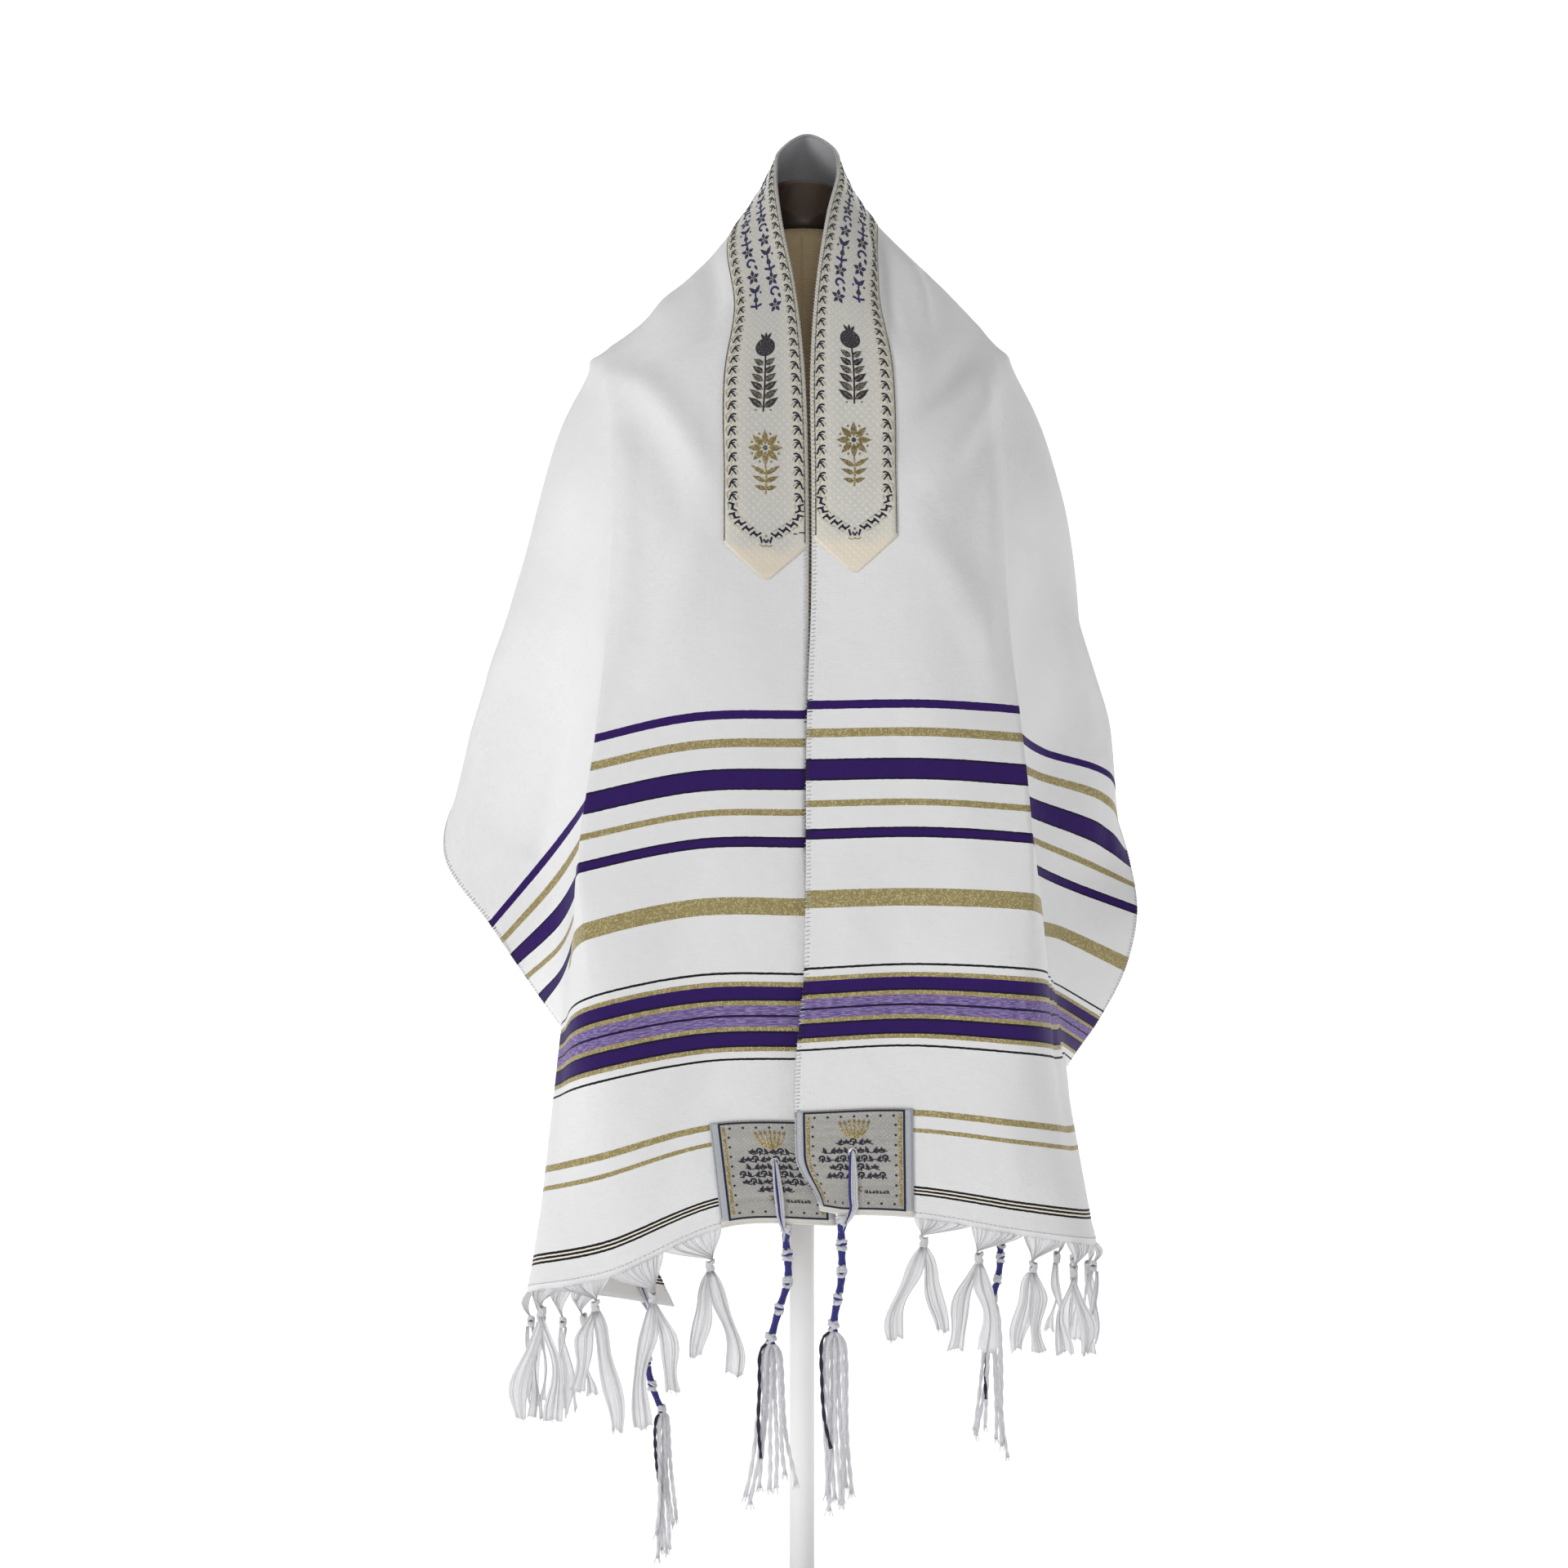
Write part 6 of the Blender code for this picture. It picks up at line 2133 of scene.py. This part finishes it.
    def _knot(self, bag: Bag, centre: Array, side: Array, out: Array, seed: int) -> None:
        """Adds one double knot: loose turns of the white cords that cross, with a turn of blue.

        Args:
            bag: what takes the mesh.
            centre: its middle.
            side: the direction across the tassel.
            out: the direction away from the cloth.
            seed: what sets its turns.
        """
        turns = ((0.9, 1.4, 2.9, 0), (-0.9, -1.3, 2.8, 0), (0.35, 0.2, 3.0, seed % 2), (-0.3, 2.6, 2.2, 0),
                 (0.4, -2.7, 2.1, 1 - seed % 2))
        for tilt, rise, wide, blue in turns:
            angles = np.linspace(0, 2 * pi, 15) + seed
            level = (rise + 2.2 * tilt * np.cos(angles - seed * 0.8)) / 1000
            radius = (wide + 0.5 * np.sin(2 * angles + seed * 1.7)) / 1000
            ring = circle(angles, side, out) * radius[:, None]
            cord = 0.00105 if blue else 0.0014
            bag.tube(centre + ring + level[:, None] * (0, 0, 1), cord, 6, blue)

    def _strands(self, bag: Bag, head: Array, ends: Array, side: Array, out: Array) -> None:
        """Adds the strands, side by side below the last knot, each frayed at its end.

        Args:
            bag: what takes the mesh.
            head: where they start.
            ends: where they end.
            side: the direction across the tassel.
            out: the direction away from the cloth.
        """
        at = np.linspace(0, 1, len(ends))
        t = np.linspace(0, 1, 19)[:, None]
        for k in range(self.strands):
            share = k / (self.strands - 1)
            navy = k == 0
            end = np.array([np.interp(share, at, ends[:, axis]) for axis in range(3)])
            end = end + (0, 0, 0.005 * sin(2.4 * k))
            if navy:
                end = head + (end - head) * (0.30, 0.30, 0.72)
            offset = side * self.corner.spread / 1000 * (2 * share - 1) + out * 0.0017 * (-1) ** k
            open_out = 1 - np.exp(-t / 0.045)
            drift = t**2.2
            level = head + (0, 0, 0.0022) * np.sin(np.clip(t * 16, 0, 1) * pi)
            path = level + open_out * offset * (1 - drift) + drift * (end - head) * (1, 1, 0)
            path = path + t * (end - head) * (0, 0, 1)
            path = path + side * (0.0011 * np.sin(t * 7 + k * 1.9) * t) + out * (0.0012 * np.sin(t * 5 + k))
            path = smooth_path(path, 2)
            for shift in (-1, 1):
                ply = circle(np.linspace(0, 22 + k, len(path)), side, out) * self.strand * 0.62 * shift
                bag.tube(path + ply, self.strand * (0.8 if navy else 1.0), 5, 2 if navy else 0)
            for fan in range(0 if navy else 5):
                lean = 0.20 * (fan - 2) + 0.10 * sin(k * 3 + fan)
                way = side * sin(lean) * 0.8 + out * 0.2 * cos(fan * 2) - (0, 0, cos(lean))
                reach = 0.006 + 0.002 * sin(fan * 3 + k)
                hair = path[-2] + np.array([0.0, 0.4, 0.75, 1.0])[:, None] * way * reach
                bag.tube(hair + side * 0.0004 * (fan - 2), 0.00036, 3, 0)


def smooth_path(points: Array, finer: int) -> Array:
    """Smooths a path.

    Args:
        points: the path.
        finer: how many steps lie between two points.
    Returns:
        Points on a curve through the given ones, with finer steps between each two.
    """
    at = np.arange(len(points), dtype=float)
    where = np.linspace(0, len(points) - 1, (len(points) - 1) * finer + 1)
    return curve(at, points, where)


@dataclass(frozen=True)
class Level:
    """One level of the dress form, in millimetres about the datum."""

    z: float
    half_width: float
    half_depth: float
    back: float


@dataclass(frozen=True)
class DressForm:
    """A limbless form: linen over a firm body, with seams, and a stained wooden neck cap."""

    sides: int = 96
    torso: tuple[Level, ...] = (
        Level(-240, 96, 66, 4), Level(-232, 108, 76, 4), Level(-170, 126, 90, 2), Level(-100, 121, 86, 2),
        Level(-20, 101, 72, 2), Level(50, 104, 74, 0), Level(120, 119, 84, -4), Level(190, 132, 88, 2),
        Level(250, 144, 82, 10), Level(295, 153, 68, 17), Level(326, 151, 58, 21),
        Level(346.6, 130.8, 51.6, 21.8), Level(365, 100, 48, 20), Level(386, 68, 45, 17),
        Level(404, 48, 41, 13), Level(422, 38, 36, 12), Level(444, 35.5, 33.5, 12),
    )
    cap: tuple[Level, ...] = (
        Level(444.4, 33.5, 31.5, 11), Level(447, 34.5, 33, 11), Level(463, 31, 30, 10),
        Level(477, 28.5, 27, 9), Level(482.5, 27, 25.5, 9), Level(485, 23, 22, 9),
    )

    def build(self, palette: Palette) -> list[Piece]:
        """Builds the form.

        Args:
            palette: the finishes.
        Returns:
            The body, its seams and the cap.
        """
        bag = Bag()
        self._loft(bag, self.torso, 3, 0.9)
        body = publish(bag.build("form_linen_body", [palette.linen]), Slot.LINEN, "form_torso")
        seams = Bag()
        for angle in (-90, -52, -128, 0, 180, 90):
            self._seam(seams, radians(angle))
        welts = publish(seams.build("form_linen_seams", [palette.linen]), Slot.LINEN)
        top = Bag()
        self._loft(top, self.cap, 4, 1.0)
        cap = publish(top.build("form_wooden_cap", [palette.wood]), Slot.WOOD, "form_neck_cap")
        return [body, welts, cap]

    def _read(self, levels: tuple[Level, ...], z: Array) -> Array:
        """Reads the form's sizes.

        Args:
            levels: the levels.
            z: the heights.
        Returns:
            Half width, half depth and setback at each height, four fifths of the way to a curve.
        """
        table = np.array([(row.half_width, row.half_depth, row.back) for row in levels])
        at = np.array([row.z for row in levels])
        straight = np.stack([np.interp(z, at, table[:, k]) for k in range(3)], axis=1)
        curved = curve(at, table, z)
        return straight + (curved - straight) * 0.8

    def _loft(self, bag: Bag, levels: tuple[Level, ...], finer: int, power: float) -> None:
        """Adds a closed body.

        Args:
            bag: what takes it.
            levels: its sizes, lowest first.
            finer: how many rings there are from one level to the next.
            power: how boxy a ring is: 1 is an ellipse, and less is squarer.
        """
        z = np.concatenate([np.linspace(a.z, b.z, finer, endpoint=False) for a, b in zip(levels, levels[1:])])
        z = np.append(z, levels[-1].z)
        sizes = self._read(levels, z)
        angles = np.arange(self.sides) * 2 * pi / self.sides
        rings = np.array([oval(size, level, angles, power) for size, level in zip(sizes, z)])
        coords = np.zeros((*rings.shape[:2], 2))
        index = bag.grid(np.swapaxes(rings, 0, 1)[::-1], np.swapaxes(coords, 0, 1)[::-1]).T
        for ring in range(len(z) - 1):
            bag.face((index[ring, 0], index[ring + 1, 0], index[ring + 1, -1], index[ring, -1])[::-1])
        bag.face(tuple(index[0]))
        bag.face(tuple(index[-1][::-1]))

    def _seam(self, bag: Bag, angle: float) -> None:
        """Adds the welted seam that runs down the cover at this angle.

        Args:
            bag: what takes the mesh.
            angle: where it runs on the oval, in radians.
        """
        z = np.linspace(-236, 441, 92)
        sizes = self._read(self.torso, z)
        path = []
        for size, level in zip(sizes, z):
            path.append(oval(size + (0.15, 0.15, 0), level, np.array([angle]), 0.9)[0])
        bag.tube(np.array(path), 0.0008, 6, 0, flat=0.6)


def oval(size: Array, z: float, angles: Array, power: float) -> Array:
    """Args: half width, half depth and setback; height; angles; power. Returns: the level's points."""
    c, s = np.cos(angles), np.sin(angles)
    x = np.sign(c) * np.abs(c) ** power * size[0]
    y = np.sign(s) * np.abs(s) ** power * size[1] + size[2]
    return np.stack([x, y, np.full(len(angles), z)], axis=1) / 1000 + (0, 0, DATUM)


@dataclass(frozen=True)
class Stand:
    """A round weighted foot with a socket, and the pole that carries the form."""

    base_radius: float = 0.170
    base_height: float = 0.012
    socket_radius: float = 0.019
    socket_top: float = 0.046
    pole_radius: float = 0.010
    pole_top: float = 0.4797

    def build(self, palette: Palette) -> list[Piece]:
        """Builds the stand.

        Args:
            palette: the finishes.
        Returns:
            The foot and the pole.
        """
        base = Bag()
        edge = 0.003
        r, h = self.base_radius, self.base_height
        profile = [(r - edge, 0.0)]
        rim = r - edge
        profile += [(rim + edge * sin(a), edge - edge * cos(a)) for a in (0.5, 1.0, pi / 2)]
        profile += [(rim + edge * cos(a), h - edge + edge * sin(a)) for a in (0.0, 0.5, 1.0, pi / 2)]
        profile += [(0.060, h), (0.024, h + 0.0004)]
        neck, top = self.socket_radius, self.socket_top
        profile += [(neck + 0.001, h + 0.002), (neck, h + 0.005), (neck, top - 0.002)]
        profile += [(neck - 0.0008, top - 0.0006), (neck - 0.002, top), (self.pole_radius + 0.0004, top)]
        turned(base, profile, 96)
        foot = publish(base.build("stand_foot_disc", [palette.steel]), Slot.STEEL, "stand_base")
        rod = Bag()
        p = self.pole_radius
        turned(rod, [(p, top + 0.0003), (p, 0.300), (p, self.pole_top)], 40)
        pole = publish(rod.build("stand_pole_tube", [palette.steel]), Slot.STEEL, "stand_pole")
        return [foot, pole]


def turned(bag: Bag, profile: list[tuple[float, float]], sides: int) -> None:
    """Adds a closed body turned about the z axis from (radius, height) pairs, lowest first.

    Args:
        bag: what takes the mesh.
        profile: the pairs.
        sides: how many sides it has.
    """
    angles = np.arange(sides) * 2 * pi / sides
    rings = np.array([[(r * cos(a), r * sin(a), z) for a in angles] for r, z in profile])
    coords = np.zeros((*rings.shape[:2], 2))
    index = bag.grid(rings[:, ::-1], coords, wrap=True)
    bag.face(tuple(index[0]))
    bag.face(tuple(index[-1][::-1]))


@dataclass(frozen=True)
class Lamp:
    """One square area lamp: where it stands, what it points at, its side and its watts."""

    name: str
    place: tuple[float, float, float]
    target: tuple[float, float, float]
    size: float
    power: float

    def build(self) -> None:
        """Adds the lamp to the scene."""
        data = bpy.data.lights.new(self.name, "AREA")
        data.size = self.size
        data.energy = self.power
        lamp = bpy.data.objects.new(self.name, data)
        lamp.location = self.place
        aim = Vector(self.target) - Vector(self.place)
        lamp.rotation_euler = aim.to_track_quat("-Z", "Y").to_euler()
        bpy.context.scene.collection.objects.link(lamp)


LAMPS = (
    Lamp("key", (-2.5, -2.2, 0.95), (0, 0, 0.95), 1.2, 43),
    Lamp("front", (0.2, -3.4, 1.4), (0, 0, 1.1), 0.8, 9.5),
    Lamp("fill", (2.5, -1.1, 1.5), (0, 0, 0.9), 1.6, 11),
    Lamp("top", (0.2, 0.3, 3.2), (0, 0, 0.8), 1.6, 1.5),
    Lamp("backdrop_left", (-1.5, 1.2, 2.0), (-1.2, 2.9, 1.5), 1.4, 13),
    Lamp("backdrop_right", (1.5, 1.2, 2.0), (1.2, 2.9, 1.5), 1.4, 13),
)


@dataclass(frozen=True)
class Studio:
    """A pale sweep, soft lights and the camera."""

    sweep_width: float = 13.6
    sweep_front: float = -1.0
    sweep_back: float = 2.6
    sweep_height: float = 3.2
    sweep_bend: float = 1.4
    air_light: float = 0.31

    def build(self, palette: Palette) -> None:
        """Sets the stage and adds lights and camera.

        Args:
            palette: the finishes.
        """
        bag = Bag()
        bend = self.sweep_bend
        flat_end = self.sweep_back - bend
        path = [(self.sweep_front, 0.0), (flat_end, 0.0)]
        for a in np.linspace(0, pi / 2, 13)[1:]:
            path.append((flat_end + bend * sin(a), bend * (1 - cos(a))))
        path.append((self.sweep_back, self.sweep_height))
        half = self.sweep_width / 2
        points = np.array([[(x, y, z) for y, z in path] for x in (-half, half)])
        bag.grid(points, np.zeros((2, len(path), 2)))
        sweep = bag.build("studio_sweep", [palette.paper])
        for lamp in LAMPS:
            lamp.build()
        world = bpy.data.worlds.new("studio_air")
        world.use_nodes = True
        air = world.node_tree.nodes["Background"]
        air.inputs["Color"].default_value = (1, 1, 1, 1)
        air.inputs["Strength"].default_value = self.air_light
        bpy.context.scene.world = world
        camera = bpy.data.objects.new("camera", bpy.data.cameras.new("camera"))
        camera.location = (CAMERA_X, -CAMERA_DISTANCE, DATUM)
        camera.rotation_euler = (pi / 2, 0, 0)
        camera.data.lens = CAMERA_LENS
        camera.data.sensor_width = 36.0
        camera.data.clip_end = 50
        bpy.context.scene.collection.objects.link(camera)
        bpy.context.scene.camera = camera
        bpy.context.scene.view_settings.view_transform = "Standard"


def main() -> None:
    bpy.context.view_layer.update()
    palette = Palette()
    drape = Drape()
    form = DressForm().build(palette)
    Stand().build(palette)
    shawl, overcasting = Shawl().build(drape, palette)
    band, band_thread = NeckBand().build(drape, palette)
    fringes = [piece for side in Side for piece in Fringe(side).build(drape, palette)]
    tassels = [piece for corner in CORNERS for piece in Tassel(corner).build(drape, palette)]
    for corner in CORNERS:
        patch, thread = CornerPatch(corner).build(drape, palette)
    Studio().build(palette)


if __name__ == "__main__":
    main()
